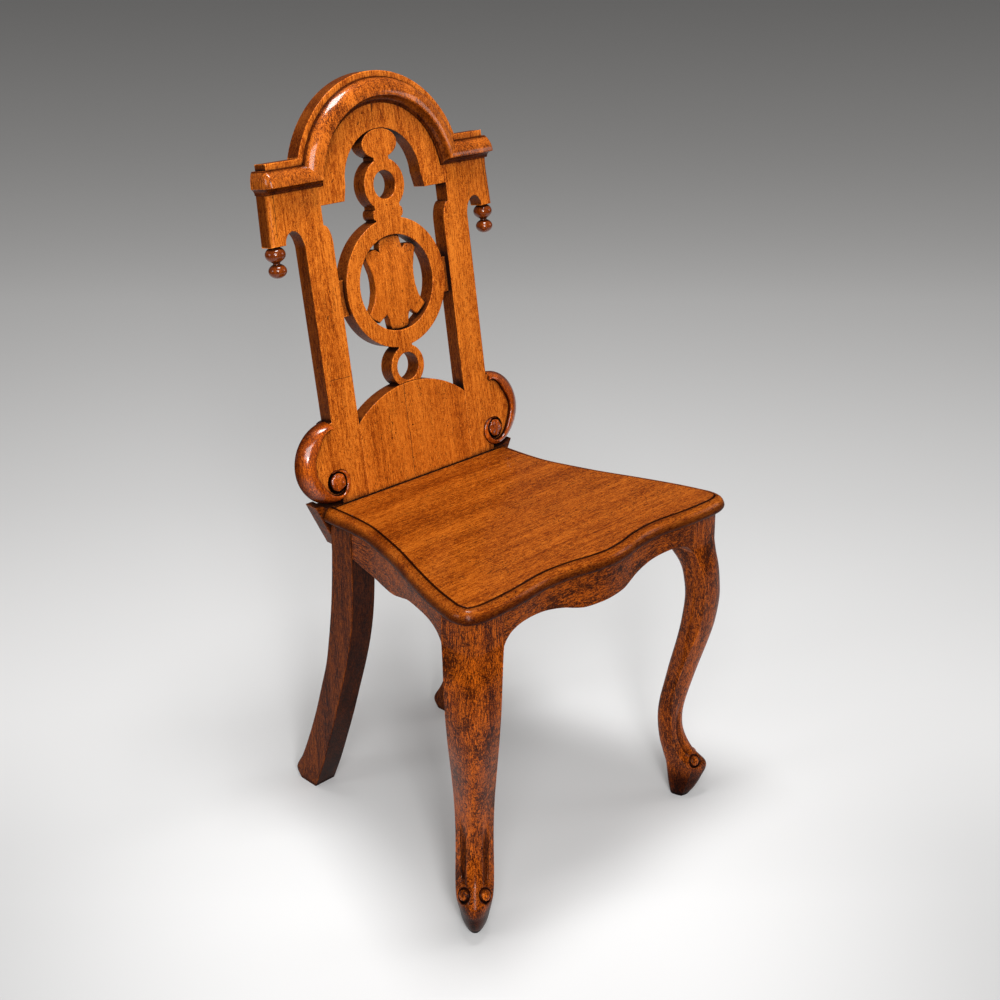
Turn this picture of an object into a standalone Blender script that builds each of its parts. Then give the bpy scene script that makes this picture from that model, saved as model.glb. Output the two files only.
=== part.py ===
"""Oak hall chair with a pierced board back, a shaped board seat and cabriole front legs.

Metres, +Z up. The origin is on the floor, under the middle of the chair. The front faces -Y.
The boards of the back are drawn flat in their own frame: s runs sideways, t runs up the raked
back and n runs out of its front face.
"""
import math

import bmesh
import bpy
from mathutils import Matrix, Vector

# Whole chair
SEAT_HEIGHT = 0.450
SEAT_WIDTH = 0.472
SEAT_DEPTH = 0.336
CHAIR_DEPTH = 0.450
BACK_RISE = 0.5165
BACK_RAKE_DEGREES = 8.8
BACK_BOARD = 0.022
FIT = 0.0003
OVERRUN = 0.004

# Seat board
SEAT_BOARD = 0.018
NOSING_WIDTH = 0.012
NOSING_STEP = 0.0015
APRON_INSET = 0.010
RAIL_SETBACK = 0.006

# Half of the seat's edge, from the back corner to the middle of the front, as shares of half the
# seat's width and of its depth.
SEAT_EDGE_SHARES = (
    (0.691, 0.0), (0.692, 0.110), (0.703, 0.210), (0.734, 0.300), (0.797, 0.446),
    (0.877, 0.595), (0.950, 0.744), (0.988, 0.848), (1.0, 0.902), (0.980, 0.954),
    (0.911, 0.980), (0.805, 0.985), (0.636, 0.979), (0.424, 0.963), (0.254, 0.972),
    (0.127, 0.991), (0.0, 1.0),
)
# Nosing section, as shares of the nosing's width, in from the edge, and of the board's thickness,
# down from the top.
NOSING_SHARES = ((0.55, 0.16), (0.18, 0.30), (0.0, 0.54), (0.06, 0.82), (0.35, 1.0))

# Seat frame
APRON_DROP = 0.050
LEG_INSET = 0.015
FRONT_APRON = 0.022
SIDE_APRON = 0.026
TENON = 0.010
TENON_LENGTH = 0.020
TENON_HEIGHT = 0.026
TENON_SHOULDER = 0.009
SIDE_TENON_SHARE = 0.58
# Lower edges, as shares of the apron's run and of its greatest drop.
FRONT_EDGE_SHARES = (
    (0.0, 0.95), (0.20, 0.94), (0.30, 0.87), (0.38, 0.78), (0.48, 0.70), (0.60, 0.63),
    (0.75, 0.585), (0.85, 0.60), (0.93, 0.68), (0.975, 0.80), (1.0, 0.92),
)
SIDE_EDGE_SHARES = (
    (0.0, 0.83), (0.10, 0.92), (0.21, 0.98), (0.33, 1.0), (0.42, 0.97), (0.52, 0.83),
    (0.60, 0.70), (0.70, 0.62), (0.80, 0.58), (0.88, 0.59), (0.94, 0.67), (0.975, 0.79),
    (1.0, 0.94),
)

# Rear rail, behind the rear legs
RAIL_THICKNESS = 0.022
RAIL_DROP = 0.058
RAIL_INSET = 0.062
RAIL_END_SLOPE = 0.031
RAIL_HORN = 0.011
RAIL_HORN_RISE = 0.0045

# Front legs
LEG_BLOCK = 0.050
LEG_SIDES = 16
# Each row is one section of the cabriole: its height as a share of the leg's, then shares of the
# block's side: how far the inner edge, the side arrises and the outer edge stand out along the
# diagonal from the block's middle, and half the section's width. The last two are how square the
# inner and the outer halves are: 1 is flat faces, 2 a round.
CABRIOLE_SHARES = (
    (1.000, -0.707, 0.00, 0.625, 0.707, 1.0, 1.22),
    (0.905, -0.707, 0.00, 0.640, 0.707, 1.0, 1.25),
    (0.865, -0.430, 0.15, 0.700, 0.685, 1.2, 1.35),
    (0.820, -0.200, 0.29, 0.790, 0.670, 1.4, 1.50),
    (0.770, -0.090, 0.37, 0.845, 0.655, 1.5, 1.60),
    (0.710, -0.040, 0.39, 0.870, 0.635, 1.6, 1.65),
    (0.630, -0.100, 0.29, 0.790, 0.600, 1.6, 1.65),
    (0.560, -0.200, 0.11, 0.640, 0.565, 1.6, 1.65),
    (0.480, -0.350, -0.11, 0.430, 0.525, 1.6, 1.65),
    (0.410, -0.470, -0.24, 0.260, 0.490, 1.6, 1.65),
    (0.350, -0.570, -0.29, 0.130, 0.470, 1.6, 1.65),
    (0.300, -0.605, -0.28, 0.070, 0.460, 1.6, 1.65),
    (0.250, -0.580, -0.24, 0.100, 0.460, 1.6, 1.65),
    (0.205, -0.520, -0.17, 0.235, 0.465, 1.6, 1.65),
    (0.165, -0.430, 0.00, 0.430, 0.468, 1.7, 1.75),
    (0.138, -0.360, 0.18, 0.640, 0.460, 1.8, 1.90),
    (0.118, -0.310, 0.28, 0.790, 0.440, 1.8, 2.00),
    (0.097, -0.280, 0.31, 0.800, 0.402, 1.8, 2.00),
    (0.072, -0.250, 0.27, 0.710, 0.362, 1.8, 2.10),
    (0.046, -0.220, 0.22, 0.610, 0.322, 1.9, 2.20),
    (0.023, -0.180, 0.18, 0.500, 0.272, 2.0, 2.20),
    (0.000, -0.130, 0.14, 0.355, 0.195, 2.0, 2.10),
)
TOE_BOSS_RADIUS = 0.0068
TOE_BOSS_RISE = 0.0012
TOE_BOSS_SHARES = (0.140, 0.455, 0.285)
TOE_BOSS_FACING_SHARES = (0.62, 0.65, 0.44)

# Rear legs
REAR_LEG_WIDTH = 0.038
REAR_LEG_DEPTH = 0.0395
REAR_LEG_LEAN = 0.0035
REAR_LEG_TAPER = 0.004
REAR_LEG_STRAIGHT_SHARE = 0.90
# Each row is a share of the leg's height, and how far its front and its rear edges have swept
# back there, as shares of the whole sweep.
SABRE_SHARES = (
    (1.0, 0.0, 0.0), (0.90, 0.0, 0.0), (0.80, 0.012, 0.035), (0.70, 0.050, 0.085),
    (0.60, 0.128, 0.155), (0.50, 0.242, 0.240), (0.40, 0.375, 0.372), (0.30, 0.508, 0.510),
    (0.20, 0.655, 0.668), (0.10, 0.808, 0.850), (0.035, 0.922, 1.0), (0.0, 0.985, 0.925),
)

# Corner blocks and screws under the seat
GLUE_BLOCK = 0.027
GLUE_BLOCK_HEIGHT = 0.030
SCREW_RADIUS = 0.0021
SCREW_HEAD_RADIUS = 0.0041
SCREW_HEAD_HEIGHT = 0.0026
SEAT_SCREW_BITE = 0.011
RAIL_SCREW_LENGTH = 0.036
RAIL_SCREW_SPACING = 0.020
RAIL_SCREW_DROP = 0.012
SCREW_SIDES = 10

# Stiles
BACK_OPENING = 0.184
STILE_WIDTH = 0.0425
STILE_NECK = 0.011
SHOULDER_RISE = 0.4265
NECK_FOOT = 0.345
NECK_CURVE = 0.025
STILE_REBATE = 0.0165

# Crest arch
ARCH_OUTER_RADIUS = 0.135
ARCH_OPENING_RADIUS = 0.0615
ARCH_OPENING_LIFT = 0.005
CREST_MOUTH = 0.132
CREST_LEG_DROP = 0.0135
ARCH_STEPS = 32

# Hood and shoulder mouldings
HOOD_FACE = 0.031
HOOD_RADIUS = 0.128
SHOULDER_FACE = 0.028
CAP_FILLET = 0.0075
MOULDING_PROJECTION = 0.013
MOULDING_RETURN = 0.0045
RETURN_STEPS = 4
# The moulding's section, from its foot to its top, as shares of its face and its projection.
MOULDING_SHARES = (
    (0.0, 0.0), (0.0, 0.26), (0.06, 0.29), (0.14, 0.40), (0.21, 0.58), (0.26, 0.80),
    (0.30, 1.0), (0.50, 0.96), (0.68, 0.82), (0.84, 0.58), (0.95, 0.32), (1.0, 0.20),
    (1.0, 0.0),
)

# Ear blocks and their pendants
EAR_WIDTH = 0.0455
EAR_CAP_WIDTH = 0.041
EAR_FLARE = 0.003
EAR_FOOT = 0.330
EAR_FOOT_WIDTH = 0.021
EAR_NOTCH_TOP = 0.345
EAR_NOTCH_FOOT = 0.319
EAR_NOTCH_MIDDLE = 0.0152
EAR_COLUMN_RADIUS = 0.0078
COLUMN_STEPS = 6
PENDANT_INSET = 0.0105
PENDANT_BALL_RADIUS = 0.0125
PENDANT_DROP_RADIUS = 0.0112
PENDANT_FLATTENING_SHARE = 0.745
PENDANT_NECK_RADIUS = 0.0045
PENDANT_PIN_RADIUS = 0.004
PENDANT_PIN_LENGTH = 0.012
LATHE_STEPS = 16

# Pierced splat
DISC_HALF_WIDTH = 0.028
DISC_HALF_HEIGHT = 0.018
DISC_NECK = 0.012
SMALL_RING_RADIUS = 0.0325
SMALL_RING_BORE = 0.0175
SMALL_RING_RISE = 0.3795
COLLAR_HALF_WIDTH = 0.0245
COLLAR_HALF_HEIGHT = 0.0065
COLLAR_RISE = 0.344
COLLAR_NECK = 0.0205
LARGE_RING_RADIUS = 0.082
LARGE_RING_BORE = 0.0605
LARGE_RING_RISE = 0.2567
LOWER_NECK = 0.0115
LOWER_RING_RADIUS = 0.0277
LOWER_RING_BORE = 0.0178
LOWER_RING_RISE = 0.1484
RING_STEPS = 24
LUG_TOP = 0.0173
LUG_FOOT = 0.0277
LUG_SETBACK = 0.007
LUG_THICKNESS = 0.010

# Cartouche inside the large ring
CARTOUCHE_HALF_WIDTH = 0.048
CARTOUCHE_THICKNESS = 0.0105
CARTOUCHE_SETBACK = 0.0065
CARTOUCHE_DOME = 0.0035
CARTOUCHE_BEVEL = 0.0028
TOP_TONGUE = 0.017
FOOT_TONGUE = 0.0145
# The shield's right-hand side from the top tongue down to the foot tongue, as shares of its half
# width and of the large ring's bore.
CARTOUCHE_SHARES = (
    (0.375, 0.80), (0.40, 0.69), (0.52, 0.76), (0.69, 0.755), (0.80, 0.72), (0.875, 0.65),
    (0.79, 0.45), (0.71, 0.25), (0.69, 0.08), (0.705, -0.12), (0.79, -0.34), (0.90, -0.49),
    (1.0, -0.57), (0.90, -0.65), (0.66, -0.77), (0.50, -0.68), (0.405, -0.63), (0.34, -0.74),
)

# Lower panel
PANEL_RISE = 0.128
PANEL_SHOULDER = 0.094
PANEL_JOINT = -0.012
PANEL_STEPS = 20

# Volute ears
VOLUTE_REACH = 0.054
VOLUTE_HALF_HEIGHT = 0.053
VOLUTE_MIDDLE_S = 0.1395
VOLUTE_MIDDLE_T = 0.0553
VOLUTE_BACK_SINK = 0.0006
VOLUTE_FIELD_SINK = 0.002
ROLL_BORE = 0.029
ROLL_TAPER = 0.014
ROLL_PROUD = 0.005
EYE_RISE = 0.0305
EYE_RADIUS = 0.012
EYE_GROOVE = 0.0035
EYE_PROUD = 0.0035
CURL_TAPER_SHARE = 0.42
ROLL_STEPS = 19
CURL_STEPS = 12
# The roll's section, as shares of its width, out from its inner edge, and of its depth, down from
# its crest.
ROLL_SHARES = (
    (0.0, 0.17), (0.10, 0.03), (0.30, 0.0), (0.60, 0.06), (0.82, 0.15), (0.95, 0.25),
    (1.0, 0.34), (0.97, 0.50), (0.80, 0.74), (0.50, 1.0),
)

# Dowels
DOWEL_RADIUS = 0.004
DOWEL_LENGTH = 0.044
DOWEL_SINK = 0.020
DOWEL_SETBACK = 0.0145
DOWEL_SIDES = 12
CREST_DOWEL_LENGTH = 0.024
CREST_DOWEL_SPACING = 0.030
STILE_DOWEL_SHARE = 0.5
PANEL_DOWEL_SHARES = (0.22, 0.78)

# Places that follow from the sizes
Y_FRONT = -CHAIR_DEPTH / 2
Y_BACK = Y_FRONT + SEAT_DEPTH
Y_RAIL = Y_BACK + RAIL_SETBACK
RAKE = math.radians(BACK_RAKE_DEGREES)
UNDER_SEAT = SEAT_HEIGHT - SEAT_BOARD
LEG_HEIGHT = UNDER_SEAT - FIT
ARCH_RISE = BACK_RISE - ARCH_OUTER_RADIUS
OPENING_RISE = ARCH_RISE + ARCH_OPENING_LIFT
STILE_INNER = BACK_OPENING / 2
STILE_OUTER = STILE_INNER + STILE_WIDTH
MOULDING_FOOT = SHOULDER_RISE - CAP_FILLET - SHOULDER_FACE
FRONT_APRON_LENGTH = SEAT_WIDTH - 2 * (LEG_BLOCK + LEG_INSET)
BLOCK_X = (FRONT_APRON_LENGTH + LEG_BLOCK) / 2
RAIL_HALF = SEAT_WIDTH / 2 - RAIL_INSET

OAK_FACE = ("oak_face", (0.42, 0.16, 0.045), 0.42)
OAK_DARK = ("oak_dark", (0.20, 0.062, 0.022), 0.40)
OAK_SEAT = ("oak_seat", (0.36, 0.13, 0.036), 0.40)
STEEL = ("screw_steel", (0.30, 0.28, 0.26), 0.45)


def clear_scene():
    """Start from an empty scene."""
    for old in list(bpy.data.objects):
        bpy.data.objects.remove(old, do_unlink=True)


def finish_material(kind):
    """One Principled material for each kind of surface, made once."""
    name, colour, roughness = kind
    made = bpy.data.materials.get(name)
    if made:
        return made
    made = bpy.data.materials.new(name)
    made.use_nodes = True
    shader = made.node_tree.nodes["Principled BSDF"]
    shader.inputs["Base Color"].default_value = (*colour, 1.0)
    shader.inputs["Roughness"].default_value = roughness
    shader.inputs["Metallic"].default_value = 1.0 if kind is STEEL else 0.0
    return made


def add_object(name, bm, kind, parent=None):
    """Turn a bmesh into a named object with its normals out and its round faces smooth."""
    bmesh.ops.recalc_face_normals(bm, faces=bm.faces)
    mesh = bpy.data.meshes.new(name)
    bm.to_mesh(mesh)
    bm.free()
    mesh.shade_smooth()
    mesh.set_sharp_from_angle(angle=math.radians(35))
    mesh.materials.append(finish_material(kind))
    made = bpy.data.objects.new(name, mesh)
    made.parent = parent
    bpy.context.scene.collection.objects.link(made)
    return made


def boolean(target, tool, operation):
    """Join or cut with another object, keep the result as the mesh and drop the tool."""
    modifier = target.modifiers.new(operation.lower(), "BOOLEAN")
    modifier.operation = operation
    modifier.object = tool
    bpy.context.view_layer.update()
    depsgraph = bpy.context.evaluated_depsgraph_get()
    result = bpy.data.meshes.new_from_object(target.evaluated_get(depsgraph))
    result.name = target.name
    target.modifiers.clear()
    target.data = result
    bpy.data.objects.remove(tool, do_unlink=True)


def mirror_copy(source, name):
    """The left-hand twin of a right-hand piece."""
    bm = bmesh.new()
    bm.from_mesh(source.data)
    bmesh.ops.transform(bm, matrix=Matrix.Diagonal((-1, 1, 1, 1)), verts=bm.verts)
    bmesh.ops.reverse_faces(bm, faces=bm.faces)
    mesh = bpy.data.meshes.new(name)
    bm.to_mesh(mesh)
    bm.free()
    mesh.materials.append(source.data.materials[0])
    made = bpy.data.objects.new(name, mesh)
    made.parent = source.parent
    bpy.context.scene.collection.objects.link(made)
    return made


def arc(middle, radii, start, end, steps):
    """Points along an elliptical arc, both ends included, angles in degrees."""
    points = []
    for step in range(steps + 1):
        angle = math.radians(start + (end - start) * step / steps)
        points.append((middle[0] + radii[0] * math.cos(angle), middle[1] + radii[1] * math.sin(angle)))
    return points


def smooth_through(rows, steps, ends_mirror=False):
    """A Catmull-Rom curve through rows of numbers, with so many steps in each span."""
    rows = [tuple(row) for row in rows]
    before = tuple(2 * a - b for a, b in zip(rows[0], rows[1]))
    after = tuple(2 * a - b for a, b in zip(rows[-1], rows[-2]))
    if ends_mirror:
        after = (-rows[-2][0],) + rows[-2][1:]
    knots = [before] + rows + [after]
    curve = []
    for index in range(1, len(knots) - 2):
        p0, p1, p2, p3 = knots[index - 1:index + 3]
        for step in range(steps):
            u = step / steps
            curve.append(tuple(
                0.5 * (2 * b + (c - a) * u + (2 * a - 5 * b + 4 * c - d) * u * u
                       + (3 * b - a - 3 * c + d) * u ** 3)
                for a, b, c, d in zip(p0, p1, p2, p3)
            ))
    curve.append(rows[-1])
    return curve


def between(curve, axis, value):
    """The other coordinate of a plane curve where its given axis reaches a value."""
    other = 1 - axis
    for a, b in zip(curve, curve[1:]):
        low, high = sorted((a[axis], b[axis]))
        if low <= value <= high and high > low:
            share = (value - a[axis]) / (b[axis] - a[axis])
            return a[other] + (b[other] - a[other]) * share
    return curve[-1][other]


def mirrored(outline):
    """An outline on the other side of the middle, in the opposite order."""
    return [(-s, t) for s, t in reversed(outline)]


def board(name, outlines, back, front, kind, parent=None):
    """A flat board: the first outline is its edge, the others are its piercings."""
    bm = bmesh.new()
    edges = []
    for outline in outlines:
        verts = [bm.verts.new((s, t, back)) for s, t in outline]
        edges += [bm.edges.new((verts[i - 1], verts[i])) for i in range(len(verts))]
    bmesh.ops.triangle_fill(bm, use_beauty=True, use_dissolve=False, edges=edges)
    bmesh.ops.dissolve_limit(bm, angle_limit=math.radians(1), verts=bm.verts, edges=bm.edges)
    grown = bmesh.ops.extrude_face_region(bm, geom=list(bm.faces))
    raised = [item for item in grown["geom"] if isinstance(item, bmesh.types.BMVert)]
    bmesh.ops.translate(bm, verts=raised, vec=(0, 0, front - back))
    return add_object(name, bm, kind, parent)


def loft(name, rings, kind, parent=None, poke_ends=False):
    """A closed solid through rings of points, each ring with as many points as the next."""
    bm = bmesh.new()
    layers = [[bm.verts.new(point) for point in ring] for ring in rings]
    count = len(rings[0])
    for lower, upper in zip(layers, layers[1:]):
        for i in range(count):
            bm.faces.new((lower[i - 1], lower[i], upper[i], upper[i - 1]))
    caps = [bm.faces.new(layers[0]), bm.faces.new(layers[-1])]
    if poke_ends:
        bmesh.ops.poke(bm, faces=caps)
    bmesh.ops.remove_doubles(bm, verts=bm.verts, dist=FIT / 10)
    return add_object(name, bm, kind, parent)


def lathe(name, profile, steps, kind, parent=None):
    """A turned solid: its profile is pairs of radius and height, both ends on the axis."""
    bm = bmesh.new()
    verts = [bm.verts.new((radius, 0, height)) for radius, height in profile]
    edges = [bm.edges.new(pair) for pair in zip(verts, verts[1:])]
    bmesh.ops.spin(bm, geom=verts + edges, cent=(0, 0, 0), axis=(0, 0, 1), angle=math.tau, steps=steps)
    bmesh.ops.remove_doubles(bm, verts=bm.verts, dist=FIT / 10)
    return add_object(name, bm, kind, parent)


def box(name, low, high, kind=OAK_DARK, parent=None):
    """A square-cornered block between two corners."""
    outline = [(low[0], low[1]), (high[0], low[1]), (high[0], high[1]), (low[0], high[1])]
    return board(name, [outline], low[2], high[2], kind, parent)


def peg(name, foot, direction, radius, length, sides, kind=OAK_DARK, parent=None):
    """A plain round peg from a point along a direction."""
    profile = [(0, 0), (radius, 0), (radius, length), (0, length)]
    made = lathe(name, profile, sides, kind, parent)
    turn = Vector(direction).to_track_quat("Z", "Y").to_matrix().to_4x4()
    made.data.transform(Matrix.Translation(foot) @ turn)
    return made


def seat_edge(inset):
    """The right half of the seat's edge, back corner to front middle, moved in by an inset."""
    rows = [(x * SEAT_WIDTH / 2, Y_BACK - y * SEAT_DEPTH) for x, y in SEAT_EDGE_SHARES]
    curve = smooth_through(rows, 2, ends_mirror=True)
    moved = []
    for i, (x, y) in enumerate(curve):
        last = curve[max(i - 1, 0)]
        following = curve[i + 1] if i + 1 < len(curve) else (-curve[i - 1][0], curve[i - 1][1])
        run = Vector((following[0] - last[0], following[1] - last[1])).normalized()
        moved.append((x + run.y * inset, y - run.x * inset))
    return moved


def seat_board():
    """One shaped board with a scratched line and a thumbnail nosing round three sides."""
    levels = [(NOSING_WIDTH + NOSING_STEP, 0), (NOSING_WIDTH, NOSING_STEP)]
    levels += [(NOSING_WIDTH * inward, SEAT_BOARD * down) for inward, down in NOSING_SHARES]
    tail = Y_RAIL - FIT
    rings = []
    for inset, down in levels:
        half = seat_edge(inset)
        half = [(half[0][0], tail)] + half[1:]
        left = [(-x, y) for x, y in reversed(half[:-1])]
        rings.append([(x, y, SEAT_HEIGHT - down) for x, y in half + left])
    return loft("seat_board", rings, OAK_SEAT)


def apron_face(axis, value):
    """Where the aprons' outer face runs: y at a given x along the front, or x at a given y."""
    curve = seat_edge(APRON_INSET)
    return between(curve if axis else list(reversed(curve)), axis, value)


def tenon_rings(points, bottom, top):
    """Two rings of a tenon whose plan is given as two pairs of corners."""
    rings = []
    for near, far in points:
        rings.append([(*near, top), (*far, top), (*far, bottom), (*near, bottom)])
    return rings


def tenon_levels(slack):
    """Bottom and top of every tenon, or of its mortise when there is slack."""
    top = UNDER_SEAT - TENON_SHOULDER
    return top - TENON_HEIGHT - slack, top + slack


def front_tenon_rings(side, slack):
    """The front apron's tenon at one end, from its tip to its shoulder."""
    bottom, top = tenon_levels(slack)
    shoulder = FRONT_APRON_LENGTH / 2 - FIT
    face = apron_face(0, FRONT_APRON_LENGTH / 2) + FRONT_APRON / 2
    low, high = face - TENON / 2 - slack, face + TENON / 2 + slack
    plan = [((side * x, low), (side * x, high))
            for x in (shoulder + TENON_LENGTH + slack, shoulder - (OVERRUN if slack else 0))]
    return tenon_rings(plan, bottom, top)


def front_apron():
    """The front rail: its face follows the seat, its back is flat, its lower edge is scrolled."""
    half_run = FRONT_APRON_LENGTH / 2 - FIT
    inner = apron_face(0, FRONT_APRON_LENGTH / 2) + FRONT_APRON
    edge = smooth_through(FRONT_EDGE_SHARES, 3)
    stations = [(-share, drop) for share, drop in reversed(edge)] + edge[1:]
    top = UNDER_SEAT - FIT
    rings = front_tenon_rings(-1, 0)
    for share, drop in stations:
        x = share * half_run
        outer = apron_face(0, abs(x))
        foot = UNDER_SEAT - APRON_DROP * drop
        rings.append([(x, outer, top), (x, inner, top), (x, inner, foot), (x, outer, foot)])
    rings += list(reversed(front_tenon_rings(1, 0)))
    return loft("front_apron", rings, OAK_DARK)


def side_apron_ends():
    """The y of the side apron's rear and front shoulders."""
    rear = Y_RAIL - FIT - REAR_LEG_DEPTH
    front = apron_face(0, FRONT_APRON_LENGTH / 2) + LEG_BLOCK
    return rear, front


def side_inner_face(y):
    """The flat inner face of the right side apron, as x at a given y."""
    rear, front = side_apron_ends()
    share = (y - rear) / (front - rear)
    outer = apron_face(1, rear) + (apron_face(1, front) - apron_face(1, rear)) * share
    return outer - SIDE_APRON


def side_tenon_rings(end, slack):
    """The side apron's rear (end 0) or front (end 1) tenon, from its tip to its shoulder."""
    bottom, top = tenon_levels(slack)
    shoulder = side_apron_ends()[end]
    out = -1 if end else 1
    tip = shoulder + out * (TENON_LENGTH - FIT + slack)
    root = shoulder - out * (OVERRUN if slack else FIT)
    plan = []
    for y in (tip, root):
        middle = side_inner_face(y) + SIDE_APRON * (1 - SIDE_TENON_SHARE)
        plan.append(((middle + TENON / 2 + slack, y), (middle - TENON / 2 - slack, y)))
    return tenon_rings(plan, bottom, top)


def side_apron():
    """The right side rail, tenoned into both legs, with an ogee in its lower edge."""
    rear, front = side_apron_ends()
    rear -= FIT
    front += FIT
    top = UNDER_SEAT - FIT
    rings = side_tenon_rings(0, 0)
    for share, drop in smooth_through(SIDE_EDGE_SHARES, 2):
        y = rear + (front - rear) * share
        outer = apron_face(1, y)
        inner = side_inner_face(y)
        foot = UNDER_SEAT - APRON_DROP * drop
        rings.append([(outer, y, top), (inner, y, top), (inner, y, foot), (outer, y, foot)])
    rings += list(reversed(side_tenon_rings(1, 0)))
    return loft("side_apron_right", rings, OAK_DARK)


def block_middle():
    """Plan position of the right front leg's square block."""
    return Vector((BLOCK_X, apron_face(0, FRONT_APRON_LENGTH / 2) + LEG_BLOCK / 2, 0))


def on_diagonal(out, across, height):
    """A point given along the right front leg's outward diagonal and across it."""
    outward = Vector((1, -1, 0)).normalized()
    sideways = Vector((1, 1, 0)).normalized()
    return block_middle() + outward * out + sideways * across + Vector((0, 0, height))


def cabriole_ring(row):
    """One section of the front leg: two curved halves that meet in side arrises."""
    height, inner, side, outer, half_width, inner_square, outer_square = row
    ring = []
    for step in range(LEG_SIDES):
        angle = math.tau * step / LEG_SIDES
        across = math.cos(angle)
        outwards = math.sin(angle) >= 0
        reach, square = (outer - side, outer_square) if outwards else (inner - side, inner_square)
        out = side + reach * (1 - abs(across) ** square)
        ring.append(on_diagonal(out * LEG_BLOCK, across * half_width * LEG_BLOCK, height * LEG_HEIGHT))
    return ring


def front_leg():
    """The right cabriole leg with its square block, scroll toe, two bosses and mortises."""
    rows = [CABRIOLE_SHARES[0]] + smooth_through(CABRIOLE_SHARES[1:], 2)
    leg = loft("front_leg_right", [cabriole_ring(row) for row in rows], OAK_DARK)
    height, out, across = TOE_BOSS_SHARES
    for side in (-1, 1):
        middle = on_diagonal(out * LEG_BLOCK, side * across * LEG_BLOCK, height * LEG_HEIGHT)
        outward, sideways, upward = TOE_BOSS_FACING_SHARES
        facing = on_diagonal(outward, side * sideways, upward) - block_middle()
        facing.normalize()
        foot = middle - facing * (TOE_BOSS_RADIUS - TOE_BOSS_RISE)
        boss = peg("boss", foot, facing, TOE_BOSS_RADIUS, TOE_BOSS_RADIUS, DOWEL_SIDES)
        boolean(leg, boss, "UNION")
    boolean(leg, loft("mortise", front_tenon_rings(1, FIT), OAK_DARK), "DIFFERENCE")
    boolean(leg, loft("mortise", side_tenon_rings(1, FIT), OAK_DARK), "DIFFERENCE")
    return leg


def rear_leg_x():
    """Outer and inner faces of the right rear leg at its top."""
    outer = apron_face(1, side_apron_ends()[0])
    return outer, outer - REAR_LEG_WIDTH


def rear_leg():
    """The right rear leg: a sabre of rectangular section that sweeps back to the floor."""
    outer, inner = rear_leg_x()
    rear = Y_RAIL - FIT
    front = rear - REAR_LEG_DEPTH
    sweep = CHAIR_DEPTH / 2 - rear
    rings = []
    for share, front_sweep, rear_sweep in [SABRE_SHARES[0]] + smooth_through(SABRE_SHARES[1:], 2):
        lean = REAR_LEG_LEAN * max(0, 1 - share / REAR_LEG_STRAIGHT_SHARE)
        fore = front + sweep * front_sweep
        aft = rear + sweep * rear_sweep
        z = LEG_HEIGHT * share
        taper = REAR_LEG_TAPER * lean / REAR_LEG_LEAN
        near, far = outer - lean, inner - lean + taper
        rings.append([(near, fore, z), (near, aft, z), (far, aft, z), (far, fore, z)])
    leg = loft("rear_leg_right", rings, OAK_DARK)
    boolean(leg, loft("mortise", side_tenon_rings(0, FIT), OAK_DARK), "DIFFERENCE")
    return leg


def rear_rail():
    """The wedge-ended board behind the rear legs, on which the back stands."""
    half = RAIL_HALF
    foot = SEAT_HEIGHT - RAIL_DROP
    horn = SEAT_HEIGHT + RAIL_HORN_RISE
    right = [(half - RAIL_END_SLOPE, foot), (half, horn), (half - RAIL_HORN, horn),
             (half - RAIL_HORN - RAIL_HORN_RISE, SEAT_HEIGHT)]
    rings = []
    for y in (Y_RAIL, Y_RAIL + RAIL_THICKNESS):
        rings.append([(x, y, z) for x, z in right + mirrored(right)])
    return loft("rear_rail", rings, OAK_DARK)


def glue_block(name, corner, side, towards):
    """A three-sided block in a corner of the seat frame: corner is (x, y), side is -1 or 1."""
    x, y = corner
    outline = [(x, y), (x - side * GLUE_BLOCK, y), (x, y + towards * GLUE_BLOCK)]
    top = UNDER_SEAT - FIT
    return board(name, [outline], top - GLUE_BLOCK_HEIGHT, top, OAK_DARK)


def screw_profile(length, slack=0.0):
    """A countersunk screw from its head at the foot to its flat tip."""
    foot = -OVERRUN if slack else 0
    return [(0, foot), (SCREW_HEAD_RADIUS + slack, foot),
            (SCREW_HEAD_RADIUS + slack, SCREW_HEAD_HEIGHT / 2 + slack),
            (SCREW_RADIUS + slack, SCREW_HEAD_HEIGHT + slack),
            (SCREW_RADIUS + slack, length + slack), (0, length + slack)]


def screw(name, head, direction, length, slack=0.0):
    """A screw, or the hole for it when there is slack."""
    made = lathe(name, screw_profile(length, slack), SCREW_SIDES, STEEL)
    turn = Vector(direction).to_track_quat("Z", "Y").to_matrix().to_4x4()
    made.data.transform(Matrix.Translation(head) @ turn)
    return made


def corner_blocks_and_seat_screws(seat):
    """Four glue blocks, each with a screw up into the seat."""
    front_face = apron_face(0, FRONT_APRON_LENGTH / 2) + FRONT_APRON
    corners = (("front", FRONT_APRON_LENGTH / 2 - FIT, front_face + FIT, 1),
               ("rear", rear_leg_x()[1] - FIT, Y_RAIL - FIT, -1))
    into = GLUE_BLOCK * (2 - math.sqrt(2)) / 2
    length = GLUE_BLOCK_HEIGHT + FIT + SEAT_SCREW_BITE
    foot = UNDER_SEAT - FIT - GLUE_BLOCK_HEIGHT
    for end, x, y, towards in corners:
        for side, hand in ((1, "right"), (-1, "left")):
            block = glue_block(f"{end}_glue_block_{hand}", (side * x, y), side, towards)
            head = Vector((side * (x - into), y + towards * into, foot + FIT))
            for target in (block, seat):
                boolean(target, screw("hole", head, (0, 0, 1), length, FIT), "DIFFERENCE")
            screw(f"{end}_seat_screw_{hand}", head, (0, 0, 1), length - FIT)


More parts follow.
